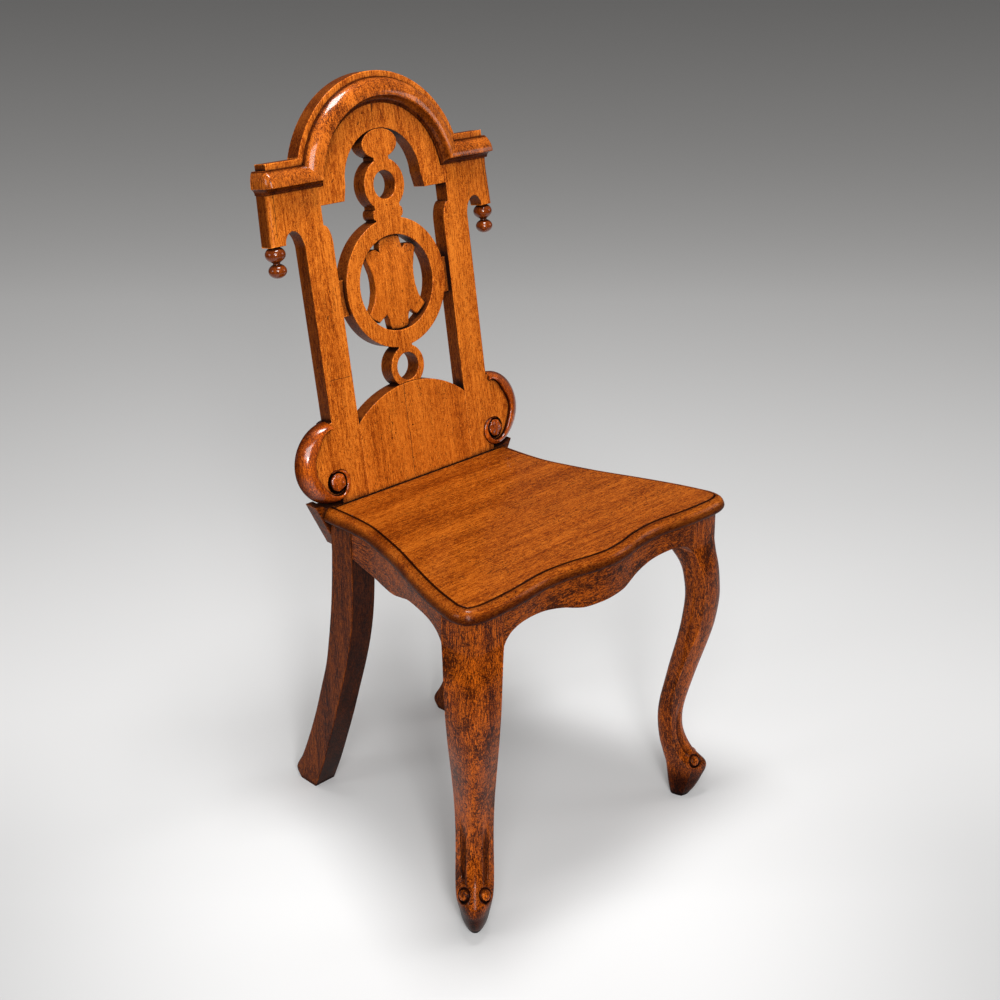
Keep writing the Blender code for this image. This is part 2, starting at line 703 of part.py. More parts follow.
def rail_screws(rail, legs):
    """Two screws through the rear rail into each rear leg."""
    outer, inner = rear_leg_x()
    back = Y_RAIL + RAIL_THICKNESS
    for leg, side, hand in legs:
        for row in range(2):
            z = UNDER_SEAT - RAIL_SCREW_DROP - row * RAIL_SCREW_SPACING
            head = Vector((side * (outer + inner) / 2, back - FIT, z))
            for target in (rail, leg):
                boolean(target, screw("hole", head, (0, -1, 0), RAIL_SCREW_LENGTH, FIT), "DIFFERENCE")
            screw(f"rail_screw_{hand}_{row + 1}", head, (0, -1, 0), RAIL_SCREW_LENGTH)


def cut_foot(piece, parent):
    """Cut a board of the back level where it stands on the seat and the rail."""
    reach = BACK_RISE
    low = (-reach, Y_BACK - reach, SEAT_HEIGHT - reach)
    high = (reach, Y_BACK + reach, SEAT_HEIGHT + FIT)
    boolean(piece, box("level", low, high), "DIFFERENCE")


def stile_outline():
    """The right stile, with its curved neck at the top and a rebate for the volute."""
    foot = -OVERRUN
    neck = STILE_INNER + STILE_NECK
    curve = arc((neck, NECK_FOOT - NECK_CURVE), (STILE_NECK, NECK_CURVE), 180, 100, 6)
    rebate_top = VOLUTE_MIDDLE_T + VOLUTE_HALF_HEIGHT + FIT
    return ([(STILE_OUTER - STILE_REBATE, foot), (STILE_OUTER - STILE_REBATE, rebate_top),
             (STILE_OUTER, rebate_top), (STILE_OUTER, SHOULDER_RISE), (neck, SHOULDER_RISE),
             (neck, NECK_FOOT)] + list(reversed(curve)) + [(STILE_INNER, foot)])


def crest_outline():
    """The arched board at the top, between and over the stiles."""
    edge = STILE_INNER + STILE_NECK - FIT
    foot = ARCH_RISE - CREST_LEG_DROP
    shelf = SHOULDER_RISE + FIT
    start = math.degrees(math.asin((shelf - ARCH_RISE) / ARCH_OUTER_RADIUS))
    outer = arc((0, ARCH_RISE), (ARCH_OUTER_RADIUS,) * 2, start, 180 - start, ARCH_STEPS)
    inner = arc((0, OPENING_RISE), (ARCH_OPENING_RADIUS,) * 2, 180, 0, ARCH_STEPS - 6)
    return ([(edge, foot), (edge, shelf)] + outer + [(-edge, shelf), (-edge, foot)]
            + [(-CREST_MOUTH / 2, foot)] + inner + [(CREST_MOUTH / 2, foot)])


def moulding_rows():
    """The moulding's section: hood radius, shoulder height, and projection, point by point."""
    return [(HOOD_RADIUS - HOOD_FACE * (1 - up), MOULDING_FOOT + SHOULDER_FACE * up,
             FIT + MOULDING_PROJECTION * out) for up, out in MOULDING_SHARES]


def hood_moulding(back):
    """The arched moulding, mitred at both ends into the shoulder mouldings."""
    rings = []
    for step in range(ARCH_STEPS + 1):
        ring = []
        for radius, height, out in moulding_rows():
            start = math.asin((height - ARCH_RISE) / radius)
            angle = start + (math.pi - 2 * start) * step / ARCH_STEPS
            ring.append((radius * math.cos(angle), ARCH_RISE + radius * math.sin(angle), out))
        rings.append(ring)
    return loft("crest_hood_moulding", rings, OAK_FACE, back, poke_ends=True)


def shoulder_moulding(back):
    """The right shoulder moulding, from the mitre round the end of the ear block."""
    rows = moulding_rows()
    corner = STILE_OUTER + EAR_WIDTH + FIT
    mitre = []
    for radius, height, out in rows:
        start = math.asin((height - ARCH_RISE) / radius)
        mitre.append((radius * math.cos(start) + 2 * FIT, height, out))
    rings = [mitre]
    for step in range(RETURN_STEPS + 1):
        angle = math.pi / 2 * step / RETURN_STEPS
        ring = []
        for _, height, out in rows:
            share = (out - FIT) / MOULDING_PROJECTION
            ring.append((corner + MOULDING_RETURN * share * math.sin(angle), height,
                         FIT + MOULDING_PROJECTION * share * math.cos(angle)))
        rings.append(ring)
    rings.append([(s, t, -BACK_BOARD) for s, t, _ in rings[-1]])
    return loft("shoulder_moulding_right", rings, OAK_FACE, back, poke_ends=True)


def ear_outline():
    """The right ear block with its cap at the top and its arched notch beside the stile."""
    inner = STILE_OUTER + FIT
    outer = STILE_OUTER + EAR_WIDTH
    notch = STILE_OUTER + EAR_NOTCH_MIDDLE
    foot = outer + EAR_FLARE - EAR_FOOT_WIDTH
    cap = SHOULDER_RISE - CAP_FILLET + FIT
    far = arc((notch, EAR_FOOT), (foot - notch, EAR_NOTCH_TOP - EAR_FOOT), 0, 90, 6)
    near = arc((notch, EAR_NOTCH_FOOT), (notch - inner, EAR_NOTCH_TOP - EAR_NOTCH_FOOT), 97, 172, 7)
    return ([(inner, near[-1][1]), (inner, SHOULDER_RISE), (STILE_OUTER + EAR_CAP_WIDTH, SHOULDER_RISE),
             (STILE_OUTER + EAR_CAP_WIDTH, cap), (outer, cap), (outer, MOULDING_FOOT),
             (outer + EAR_FLARE, EAR_FOOT)] + far + near)


def column_rounding(back):
    """The waste that leaves a quarter column down the right ear block's outer front arris."""
    radius = EAR_COLUMN_RADIUS
    rings = []
    for t in (EAR_FOOT - OVERRUN, MOULDING_FOOT):
        share = (MOULDING_FOOT - t) / (MOULDING_FOOT - EAR_FOOT)
        edge = STILE_OUTER + EAR_WIDTH + EAR_FLARE * share
        corner = [(edge - radius, OVERRUN), (edge + OVERRUN, OVERRUN), (edge + OVERRUN, -radius)]
        section = arc((edge - radius, -radius), (radius, radius), 0, 90, COLUMN_STEPS) + corner
        rings.append([(s, t, n) for s, n in section])
    return loft("rounding", rings, OAK_DARK, back)


def pendant_axis():
    """Sideways place of the right pendant's axis, in the ear block's foot."""
    return STILE_OUTER + EAR_WIDTH + EAR_FLARE - PENDANT_INSET


def pendant_profile():
    """Two turned balls under a pin, from the bottom upwards."""
    drop = PENDANT_DROP_RADIUS * PENDANT_FLATTENING_SHARE
    ball = PENDANT_BALL_RADIUS * PENDANT_FLATTENING_SHARE
    top = EAR_FOOT - FIT
    ball_middle = top - ball * 0.93
    drop_middle = ball_middle - (ball + drop) * 0.97
    lower = arc((0, drop_middle), (PENDANT_DROP_RADIUS, drop), -90, 62, 9)
    upper = arc((0, ball_middle), (PENDANT_BALL_RADIUS, ball), -62, 66, 8)
    waist = (PENDANT_NECK_RADIUS, (lower[-1][1] + upper[0][1]) / 2)
    shoulder = [(upper[-1][0], top), (PENDANT_PIN_RADIUS, top),
                (PENDANT_PIN_RADIUS, top + PENDANT_PIN_LENGTH), (0, top + PENDANT_PIN_LENGTH)]
    return [(0, lower[0][1])] + lower[1:] + [waist] + upper + shoulder


def stand_up(piece, s):
    """Turn a lathed piece from its own Z to the back's t direction, in the board's middle."""
    turn = Matrix.Rotation(math.radians(-90), 4, "X")
    piece.data.transform(Matrix.Translation((s, 0, -BACK_BOARD / 2)) @ turn)


def ear_and_pendant(back):
    """The right ear block, bored for the pin of its turned pendant."""
    ear = board("ear_block_right", [ear_outline()], -BACK_BOARD, 0, OAK_FACE, back)
    pendant = lathe("pendant_right", pendant_profile(), LATHE_STEPS, OAK_DARK, back)
    stand_up(pendant, pendant_axis())
    hole_top = EAR_FOOT - FIT + PENDANT_PIN_LENGTH + FIT
    hole = peg("hole", (0, 0, EAR_FOOT - OVERRUN), (0, 0, 1), PENDANT_PIN_RADIUS + FIT,
               hole_top - EAR_FOOT + OVERRUN, LATHE_STEPS, OAK_DARK, back)
    stand_up(hole, pendant_axis())
    boolean(ear, hole, "DIFFERENCE")
    boolean(ear, column_rounding(back), "DIFFERENCE")
    return ear, pendant


def ring_side(rise, radii, lower_half, upper_half, steps):
    """The right-hand side of a ring or disc, between the necks below and above it."""
    start = -90 + math.degrees(math.asin(lower_half / radii[0]))
    end = 90 - math.degrees(math.asin(upper_half / radii[0]))
    return arc((0, rise), radii, start, end, steps)


def panel_circle():
    """Middle height and radius of the panel's arched top edge."""
    rise = PANEL_RISE - PANEL_SHOULDER
    radius = (STILE_INNER ** 2 + rise ** 2) / (2 * rise)
    return PANEL_RISE - radius, radius


def panel_top(s):
    """Height of the panel's arched top at a sideways place."""
    middle, radius = panel_circle()
    return middle + math.sqrt(radius ** 2 - s ** 2)


def splat_foot_half():
    """Half the width where the lowest ring lands on the panel's arch."""
    half = LOWER_RING_RADIUS
    while LOWER_RING_RISE - math.sqrt(LOWER_RING_RADIUS ** 2 - half ** 2) > panel_top(half) + FIT:
        half -= LOWER_RING_RADIUS / 400
    return half


def splat_outlines():
    """The fretwork's edge, rings and necks stacked from the panel to the arch, and its bores."""
    foot_half = splat_foot_half()
    disc_rise = OPENING_RISE + ARCH_OPENING_RADIUS - FIT - DISC_HALF_HEIGHT
    right = ring_side(LOWER_RING_RISE, (LOWER_RING_RADIUS,) * 2, foot_half, LOWER_NECK, 12)
    right += ring_side(LARGE_RING_RISE, (LARGE_RING_RADIUS,) * 2, LOWER_NECK, COLLAR_NECK,
                       RING_STEPS)
    right += arc((COLLAR_NECK, COLLAR_RISE), (COLLAR_HALF_WIDTH - COLLAR_NECK, COLLAR_HALF_HEIGHT),
                 -90, 90, 6)
    right += ring_side(SMALL_RING_RISE, (SMALL_RING_RADIUS,) * 2, COLLAR_NECK, DISC_NECK, 12)
    right += ring_side(disc_rise, (DISC_HALF_WIDTH, DISC_HALF_HEIGHT), DISC_NECK,
                       DISC_HALF_WIDTH / 10, 12)
    foot = [(s * foot_half / 3, panel_top(s * foot_half / 3) + FIT) for s in (-2, -1, 0, 1, 2)]
    bores = [(SMALL_RING_RISE, SMALL_RING_BORE, 20), (LARGE_RING_RISE, LARGE_RING_BORE, 44),
             (LOWER_RING_RISE, LOWER_RING_BORE, 20)]
    holes = [arc((0, rise), (radius,) * 2, 0, 360, steps)[:-1] for rise, radius, steps in bores]
    return [foot + right + mirrored(right)] + holes


def splat_lug(back):
    """The small set-back block that ties the large ring to the right stile."""
    start = math.degrees(math.asin(-LUG_FOOT / LARGE_RING_RADIUS))
    end = math.degrees(math.asin(LUG_TOP / LARGE_RING_RADIUS))
    radius = LARGE_RING_RADIUS + FIT
    ring = arc((0, LARGE_RING_RISE), (radius, radius), end, start, 6)
    edge = STILE_INNER - FIT
    outline = [(edge, ring[-1][1]), (edge, ring[0][1])] + ring
    rear = -LUG_SETBACK - LUG_THICKNESS
    return board("splat_lug_right", [outline], rear, -LUG_SETBACK, OAK_DARK, back)


def cartouche(back):
    """The shield in the large ring: tongues at top and foot, two pairs of lobes, a low dome."""
    bore = LARGE_RING_BORE - FIT
    shield = [(s * CARTOUCHE_HALF_WIDTH, LARGE_RING_RISE + t * LARGE_RING_BORE)
              for s, t in CARTOUCHE_SHARES]
    top = math.degrees(math.acos(TOP_TONGUE / bore))
    foot = -math.degrees(math.acos(FOOT_TONGUE / bore))
    top_edge = arc((0, LARGE_RING_RISE), (bore, bore), 90, top, 4)
    foot_edge = arc((0, LARGE_RING_RISE), (bore, bore), foot, -90, 4)
    right = top_edge + shield + foot_edge
    outline = list(reversed(right + [(-s, t) for s, t in reversed(right[1:-1])]))
    back_face = -CARTOUCHE_SETBACK - CARTOUCHE_THICKNESS
    piece = board("cartouche", [outline], back_face, -CARTOUCHE_SETBACK, OAK_FACE, back)
    bm = bmesh.new()
    bm.from_mesh(piece.data)
    front = [face for face in bm.faces if face.normal.z > 0.5]
    bmesh.ops.inset_region(bm, faces=front, thickness=CARTOUCHE_BEVEL, depth=CARTOUCHE_DOME)
    bm.to_mesh(piece.data)
    bm.free()
    return piece


def lower_panels(back):
    """Two boards side by side under one arched top edge."""
    left_edge, right_edge = -STILE_INNER + FIT, STILE_INNER - FIT
    spans = (("lower_panel_left", left_edge, PANEL_JOINT - FIT / 2),
             ("lower_panel_right", PANEL_JOINT + FIT / 2, right_edge))
    made = []
    for name, start, end in spans:
        top = [(end + (start - end) * i / PANEL_STEPS, 0) for i in range(PANEL_STEPS + 1)]
        top = [(s, panel_top(s)) for s, _ in top]
        outline = [(start, -OVERRUN), (end, -OVERRUN)] + top
        made.append(board(name, [outline], -BACK_BOARD, 0, OAK_FACE, back))
    return made


def roll_ring(inner, outer, crest, foot):
    """One section of the volute's roll between its inner and outer edges."""
    ring = []
    for across, down in ROLL_SHARES:
        s = inner[0] + (outer[0] - inner[0]) * across
        t = inner[1] + (outer[1] - inner[1]) * across
        ring.append((s, t, crest + (foot - crest) * down))
    ring.append((inner[0], inner[1], foot))
    return ring


def volute(back):
    """The right volute: a broad roll that curls in under a raised eye, over a sunk field."""
    middle = (VOLUTE_MIDDLE_S, VOLUTE_MIDDLE_T)
    crest, foot = ROLL_PROUD, -BACK_BOARD
    rings = []
    for step in range(ROLL_STEPS + 1):
        angle = math.radians(97 - 187 * step / ROLL_STEPS)
        bore = ROLL_BORE + ROLL_TAPER * math.sin(angle) ** 8
        outer = (middle[0] + VOLUTE_REACH * math.cos(angle), middle[1] + VOLUTE_HALF_HEIGHT * math.sin(angle))
        inner = (middle[0] + bore * math.cos(angle), middle[1] + bore * math.sin(angle))
        rings.append(roll_ring(inner, outer, crest, foot))
    eye = (VOLUTE_MIDDLE_S, EYE_RISE)
    start_reach = EYE_RISE - (VOLUTE_MIDDLE_T - VOLUTE_HALF_HEIGHT)
    start_bore = EYE_RISE - (VOLUTE_MIDDLE_T - ROLL_BORE - ROLL_TAPER)
    for step in range(1, CURL_STEPS + 1):
        share = step / CURL_STEPS
        angle = math.radians(-90 - 190 * share)
        bore = start_bore + (EYE_RADIUS + EYE_GROOVE - start_bore) * min(1, 3 * share)
        reach = bore + (start_reach - start_bore) * (1 - (1 - CURL_TAPER_SHARE) * share)
        inner = (eye[0] + bore * math.cos(angle), eye[1] + bore * math.sin(angle))
        outer = (eye[0] + reach * math.cos(angle), eye[1] + reach * math.sin(angle))
        rings.append(roll_ring(inner, outer, crest, foot))
    roll = loft("volute_right", rings, OAK_DARK, back)
    inner_edge = STILE_OUTER - STILE_REBATE + FIT
    half = (VOLUTE_REACH + ROLL_BORE) / 2
    tall = (VOLUTE_HALF_HEIGHT + ROLL_BORE + ROLL_TAPER) / 2
    start = math.degrees(math.acos((inner_edge - VOLUTE_MIDDLE_S) / half))
    shelf = VOLUTE_MIDDLE_T + VOLUTE_HALF_HEIGHT - FIT
    field = arc(middle, (half, tall), -start, 80, 18)
    field += [(STILE_OUTER, shelf), (inner_edge, shelf)]
    plate = board("plate", [field], foot + VOLUTE_BACK_SINK, -VOLUTE_FIELD_SINK, OAK_DARK, back)
    boolean(roll, plate, "UNION")
    crown = BACK_BOARD + EYE_PROUD
    section = [(0, 0), (EYE_RADIUS, 0), (EYE_RADIUS, BACK_BOARD)]
    section += [(EYE_RADIUS * 0.8, crown - EYE_PROUD * 0.4), (EYE_RADIUS * 0.4, crown), (0, crown)]
    boss = lathe("eye", section, LATHE_STEPS, OAK_DARK, back)
    boss.data.transform(Matrix.Translation((eye[0], eye[1], foot + 2 * VOLUTE_BACK_SINK)))
    boolean(roll, boss, "UNION")
    keep = inner_edge - FIT
    trim = box("trim", (keep - VOLUTE_REACH, -OVERRUN * 2, foot - OVERRUN),
               (inner_edge, BACK_RISE, ROLL_PROUD + OVERRUN), OAK_DARK, back)
    boolean(roll, trim, "DIFFERENCE")
    return roll


def back_dowels(rail, targets):
    """Upright dowels that stand the stiles and the panel boards on the rear rail."""
    foot = SEAT_HEIGHT - DOWEL_SINK
    y = Y_BACK + DOWEL_SETBACK
    for number, (x, piece) in enumerate(targets, 1):
        for target in (rail, piece):
            hole = peg("hole", (x, y, foot - FIT), (0, 0, 1), DOWEL_RADIUS + FIT,
                       DOWEL_LENGTH + 2 * FIT, DOWEL_SIDES)
            boolean(target, hole, "DIFFERENCE")
        peg(f"back_dowel_{number}", (x, y, foot), (0, 0, 1), DOWEL_RADIUS, DOWEL_LENGTH, DOWEL_SIDES)


def crest_dowels(crest, stiles, back):
    """Two dowels across each joint between the arch and a stile."""
    joint = STILE_INNER + STILE_NECK
    for stile, side, hand in stiles:
        for row in range(2):
            t = ARCH_RISE + row * CREST_DOWEL_SPACING
            start = (side * (joint - CREST_DOWEL_LENGTH / 2), t, -BACK_BOARD / 2)
            for target in (crest, stile):
                wide = (start[0] - side * FIT, t, start[2])
                hole = peg("hole", wide, (side, 0, 0), DOWEL_RADIUS + FIT, CREST_DOWEL_LENGTH + 2 * FIT,
                           DOWEL_SIDES, OAK_DARK, back)
                boolean(target, hole, "DIFFERENCE")
            peg(f"crest_dowel_{hand}_{row + 1}", start, (side, 0, 0), DOWEL_RADIUS, CREST_DOWEL_LENGTH,
                DOWEL_SIDES, OAK_DARK, back)


def build_back(back, rail):
    """Every board and moulding of the back."""
    stile = board("stile_right", [stile_outline()], -BACK_BOARD, 0, OAK_FACE, back)
    cut_foot(stile, back)
    stile_left = mirror_copy(stile, "stile_left")
    crest = board("crest_arch", [crest_outline()], -BACK_BOARD, 0, OAK_FACE, back)
    hood_moulding(back)
    mirror_copy(shoulder_moulding(back), "shoulder_moulding_left")
    ear, pendant = ear_and_pendant(back)
    mirror_copy(ear, "ear_block_left")
    mirror_copy(pendant, "pendant_left")
    board("splat_fretwork", splat_outlines(), -BACK_BOARD, 0, OAK_FACE, back)
    mirror_copy(splat_lug(back), "splat_lug_left")
    cartouche(back)
    panels = lower_panels(back)
    for panel in panels:
        cut_foot(panel, back)
    scroll = volute(back)
    cut_foot(scroll, back)
    mirror_copy(scroll, "volute_left")
    stile_x = STILE_INNER + (STILE_WIDTH - STILE_REBATE) * STILE_DOWEL_SHARE
    run = STILE_INNER * 2
    low, high = (run * share - STILE_INNER for share in PANEL_DOWEL_SHARES)
    back_dowels(rail, ((-stile_x, stile_left), (low, panels[0]), (high, panels[1]), (stile_x, stile)))
    crest_dowels(crest, ((stile, 1, "right"), (stile_left, -1, "left")), back)


def build_seat_and_legs():
    """The seat board, its frame, the four legs, and what fastens them."""
    seat = seat_board()
    front_apron()
    mirror_copy(side_apron(), "side_apron_left")
    mirror_copy(front_leg(), "front_leg_left")
    leg_right = rear_leg()
    leg_left = mirror_copy(leg_right, "rear_leg_left")
    rail = rear_rail()
    corner_blocks_and_seat_screws(seat)
    rail_screws(rail, ((leg_right, 1, "right"), (leg_left, -1, "left")))
    return rail


def main():
    """Build the whole chair."""
    clear_scene()
    back = bpy.data.objects.new("back_frame", None)
    back.location = (0, Y_BACK, SEAT_HEIGHT)
    back.rotation_euler = (math.pi / 2 - RAKE, 0, 0)
    bpy.context.scene.collection.objects.link(back)
    rail = build_seat_and_legs()
    build_back(back, rail)


main()
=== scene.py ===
"""Looks for a waxed oak hall chair, laid out as a Blender add-on and run as a script.

Metres, +Z up, the front facing -Y. The boards of the back are drawn flat in their own frame:
s runs sideways, t runs up the raked back and n runs out of its front face.
"""
import math

import bmesh
import bpy
from bpy.props import BoolProperty, FloatProperty, FloatVectorProperty, IntProperty, PointerProperty
from mathutils import Euler, Matrix, Vector


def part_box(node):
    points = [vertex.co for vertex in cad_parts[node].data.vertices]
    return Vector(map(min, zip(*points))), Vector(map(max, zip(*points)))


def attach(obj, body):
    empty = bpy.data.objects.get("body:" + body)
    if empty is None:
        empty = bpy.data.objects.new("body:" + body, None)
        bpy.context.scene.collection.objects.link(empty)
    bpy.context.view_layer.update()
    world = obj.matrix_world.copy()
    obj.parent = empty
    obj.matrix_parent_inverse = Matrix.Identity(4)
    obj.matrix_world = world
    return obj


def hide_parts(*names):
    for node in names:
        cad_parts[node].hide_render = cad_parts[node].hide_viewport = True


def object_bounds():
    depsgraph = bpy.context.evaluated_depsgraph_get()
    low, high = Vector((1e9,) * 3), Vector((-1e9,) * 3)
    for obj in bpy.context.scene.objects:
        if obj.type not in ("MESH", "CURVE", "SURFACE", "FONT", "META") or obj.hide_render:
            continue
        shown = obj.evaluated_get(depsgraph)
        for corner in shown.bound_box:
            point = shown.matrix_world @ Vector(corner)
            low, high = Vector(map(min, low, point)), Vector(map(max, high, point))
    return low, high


bl_info = {
    "name": "Waxed Oak Hall Chair",
    "version": (1, 0, 0),
    "blender": (4, 5, 0),
    "location": "3D View > Sidebar > Hall Chair",
    "description": "Builds a pierced-back oak hall chair piece by piece round its solids",
    "category": "Add Mesh",
}

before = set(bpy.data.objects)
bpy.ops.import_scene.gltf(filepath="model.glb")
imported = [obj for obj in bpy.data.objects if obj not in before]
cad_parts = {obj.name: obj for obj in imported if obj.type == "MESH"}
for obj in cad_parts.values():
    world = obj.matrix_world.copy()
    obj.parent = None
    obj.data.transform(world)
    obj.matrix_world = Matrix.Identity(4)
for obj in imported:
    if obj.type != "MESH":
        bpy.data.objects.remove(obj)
CAD_BOUNDS = [list(corner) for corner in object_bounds()]

SEAT_LOW, SEAT_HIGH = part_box("seat_board")
SEAT_HEIGHT = SEAT_HIGH.z
SEAT_WIDTH = SEAT_HIGH.x - SEAT_LOW.x
SEAT_DEPTH = 0.336
Y_FRONT = SEAT_LOW.y
Y_BACK = Y_FRONT + SEAT_DEPTH
Y_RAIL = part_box("rear_rail")[0].y
RAKE = math.radians(8.8)
BOARD = 0.022
FIT = 0.0003
UNDER_SEAT = SEAT_LOW.z
LEG_HEIGHT = UNDER_SEAT - FIT
BACK_FRAME = Matrix.Translation((0, Y_BACK, SEAT_HEIGHT)) @ Matrix.Rotation(math.pi / 2 - RAKE, 4, "X")

# A distance east and north added up, times this, is the distance along the diagonal between them.
DIAGONAL = 0.7071

# The right half of the seat's edge from its back corner to the middle of its front: shares of half
# the seat's width and of its depth.
SEAT_EDGE = (
    (0.691, 0.0), (0.692, 0.110), (0.703, 0.210), (0.734, 0.300), (0.797, 0.446),
    (0.877, 0.595), (0.950, 0.744), (0.988, 0.848), (1.0, 0.902), (0.980, 0.954),
    (0.911, 0.980), (0.805, 0.985), (0.636, 0.979), (0.424, 0.963), (0.254, 0.972),
    (0.127, 0.991), (0.0, 1.0),
)
APRON_INSET = 0.010

# Seat frame. A scroll's rows give the share of the apron's run and the share of its drop.
APRON_LENGTH = 0.342
FRONT_APRON = 0.022
SIDE_APRON = 0.026
APRON_DROP = 0.050
FRONT_SCROLL = (
    (0.0, 0.95), (0.20, 0.94), (0.30, 0.87), (0.38, 0.78), (0.48, 0.70), (0.60, 0.63),
    (0.75, 0.585), (0.85, 0.60), (0.93, 0.68), (0.975, 0.80), (1.0, 0.92),
)
SIDE_SCROLL = (
    (0.0, 0.83), (0.10, 0.92), (0.21, 0.98), (0.33, 1.0), (0.42, 0.97), (0.52, 0.83),
    (0.60, 0.70), (0.70, 0.62), (0.80, 0.58), (0.88, 0.59), (0.94, 0.67), (0.975, 0.79),
    (1.0, 0.94),
)

# Legs. Lengths along the front leg's outward diagonal, and across it, are in blocks.
BLOCK = 0.050
# From the top down: share of the height; where the section's inner side, its side arrises and its
# outer side stand on the diagonal; half its width; and how square its inner and outer halves are.
CABRIOLE = (
    (1.000, -0.707, 0.00, 0.625, 0.707, 1.0, 1.22),
    (0.905, -0.707, 0.00, 0.640, 0.707, 1.0, 1.25),
    (0.865, -0.430, 0.15, 0.700, 0.685, 1.2, 1.35),
    (0.820, -0.200, 0.29, 0.790, 0.670, 1.4, 1.50),
    (0.770, -0.090, 0.37, 0.845, 0.655, 1.5, 1.60),
    (0.710, -0.040, 0.39, 0.870, 0.635, 1.6, 1.65),
    (0.630, -0.100, 0.29, 0.790, 0.600, 1.6, 1.65),
    (0.560, -0.200, 0.11, 0.640, 0.565, 1.6, 1.65),
    (0.480, -0.350, -0.11, 0.430, 0.525, 1.6, 1.65),
    (0.410, -0.470, -0.24, 0.260, 0.490, 1.6, 1.65),
    (0.350, -0.570, -0.29, 0.130, 0.470, 1.6, 1.65),
    (0.300, -0.605, -0.28, 0.070, 0.460, 1.6, 1.65),
    (0.250, -0.580, -0.24, 0.100, 0.460, 1.6, 1.65),
    (0.205, -0.520, -0.17, 0.235, 0.465, 1.6, 1.65),
    (0.165, -0.430, 0.00, 0.430, 0.468, 1.7, 1.75),
    (0.138, -0.360, 0.18, 0.640, 0.460, 1.8, 1.90),
    (0.118, -0.310, 0.28, 0.790, 0.440, 1.8, 2.00),
    (0.097, -0.280, 0.31, 0.800, 0.402, 1.8, 2.00),
    (0.072, -0.250, 0.27, 0.710, 0.362, 1.8, 2.10),
    (0.046, -0.220, 0.22, 0.610, 0.322, 1.9, 2.20),
    (0.023, -0.180, 0.18, 0.500, 0.272, 2.0, 2.20),
    (0.000, -0.130, 0.14, 0.355, 0.195, 2.0, 2.10),
)
CHANNEL_MIDDLE = 0.0135
CHANNEL_HALF_WIDTH = 0.0035
TOE_BOSS = (0.140, 0.455, 0.285)
TOE_BOSS_FACING = (0.62, 0.65, 0.44)
TOE_BOSS_RADIUS = 0.0066
# From the top down: share of the height, and of the sweep at the front and at the back.
SABRE = (
    (1.0, 0.0, 0.0), (0.90, 0.0, 0.0), (0.80, 0.012, 0.035), (0.70, 0.050, 0.085),
    (0.60, 0.128, 0.155), (0.50, 0.242, 0.240), (0.40, 0.375, 0.372), (0.30, 0.508, 0.510),
    (0.20, 0.655, 0.668), (0.10, 0.808, 0.850), (0.035, 0.922, 1.0), (0.0, 0.985, 0.925),
)
REAR_LEG_WIDTH = 0.038
REAR_LEG_DEPTH = 0.0395
REAR_LEG_LEAN = 0.0035
REAR_LEG_TAPER = 0.004

# Back. Measured across from the middle plane and up from the top of the seat along the boards.
STILE_INNER = 0.092
STILE_OUTER = 0.1345
STILE_NECK = 0.011
NECK_INNER = STILE_INNER + STILE_NECK
BOARD_FOOT = 0.0004
SHOULDER_RISE = 0.4265
SHOULDER_INNER = 0.1273
FOOT_BAND = 0.0035
ARCH_RADIUS = 0.135
ARCH_RISE = 0.3815
ARCH_FOOT = ARCH_RISE - 0.0135
ARCH_OPENING = 0.0615
OPENING_RISE = 0.3865
HOOD_RADIUS = 0.128
HOOD_FACE = 0.031
SHOULDER_FACE = 0.028
MOULDING_FOOT = 0.391
EAR_WIDTH = 0.0455
EAR_OUTER = STILE_OUTER + EAR_WIDTH
EAR_FLARE = 0.003
EAR_COLUMN = 0.0078
EAR_FOOT = 0.330
# Each ring's rise, radius and bore.
SMALL_RING = (0.3795, 0.0325, 0.0175)
LARGE_RING = (0.2567, 0.082, 0.0605)
LOWER_RING = (0.1484, 0.0277, 0.0178)
# The shield's right edge: shares of its half width and of the ring's bore.
CARTOUCHE = (
    (0.375, 0.80), (0.40, 0.69), (0.52, 0.76), (0.69, 0.755), (0.80, 0.72), (0.875, 0.65),
    (0.79, 0.45), (0.71, 0.25), (0.69, 0.08), (0.705, -0.12), (0.79, -0.34), (0.90, -0.49),
    (1.0, -0.57), (0.90, -0.65), (0.66, -0.77), (0.50, -0.68), (0.405, -0.63), (0.34, -0.74),
)
SET_BACK = -0.017
LUG_FACE = -0.007
SHIELD_FACE = -0.0060
PANEL_RISE = 0.128
PANEL_SHOULDER = 0.094
PANEL_JOINT = -0.012
VOLUTE = Vector((0.1395, 0.0553))
VOLUTE_REACH = 0.054
VOLUTE_HALF_HEIGHT = 0.053
EYE = Vector((0.1388, 0.0305))
ROLL_BORE = 0.0300
CURL_BORE = 0.0163
PENDANT_BALLS = (0.0125, 0.0112)


def length(label, about, value, low, high):
    """A setting in metres."""
    return FloatProperty(name=label, description=about, default=value, min=low, max=high,
                         unit="LENGTH", precision=4)


def amount(label, about, value, most=1.0, **settings):
    """A setting from 0 upwards."""
    return FloatProperty(name=label, description=about, default=value, min=0.0, max=most, **settings)


def colour(label, about, red, green, blue):
    """A colour setting."""
    return FloatVectorProperty(name=label, description=about, subtype="COLOR", size=4,
                               default=(red, green, blue, 1.0), min=0.0, max=1.0)


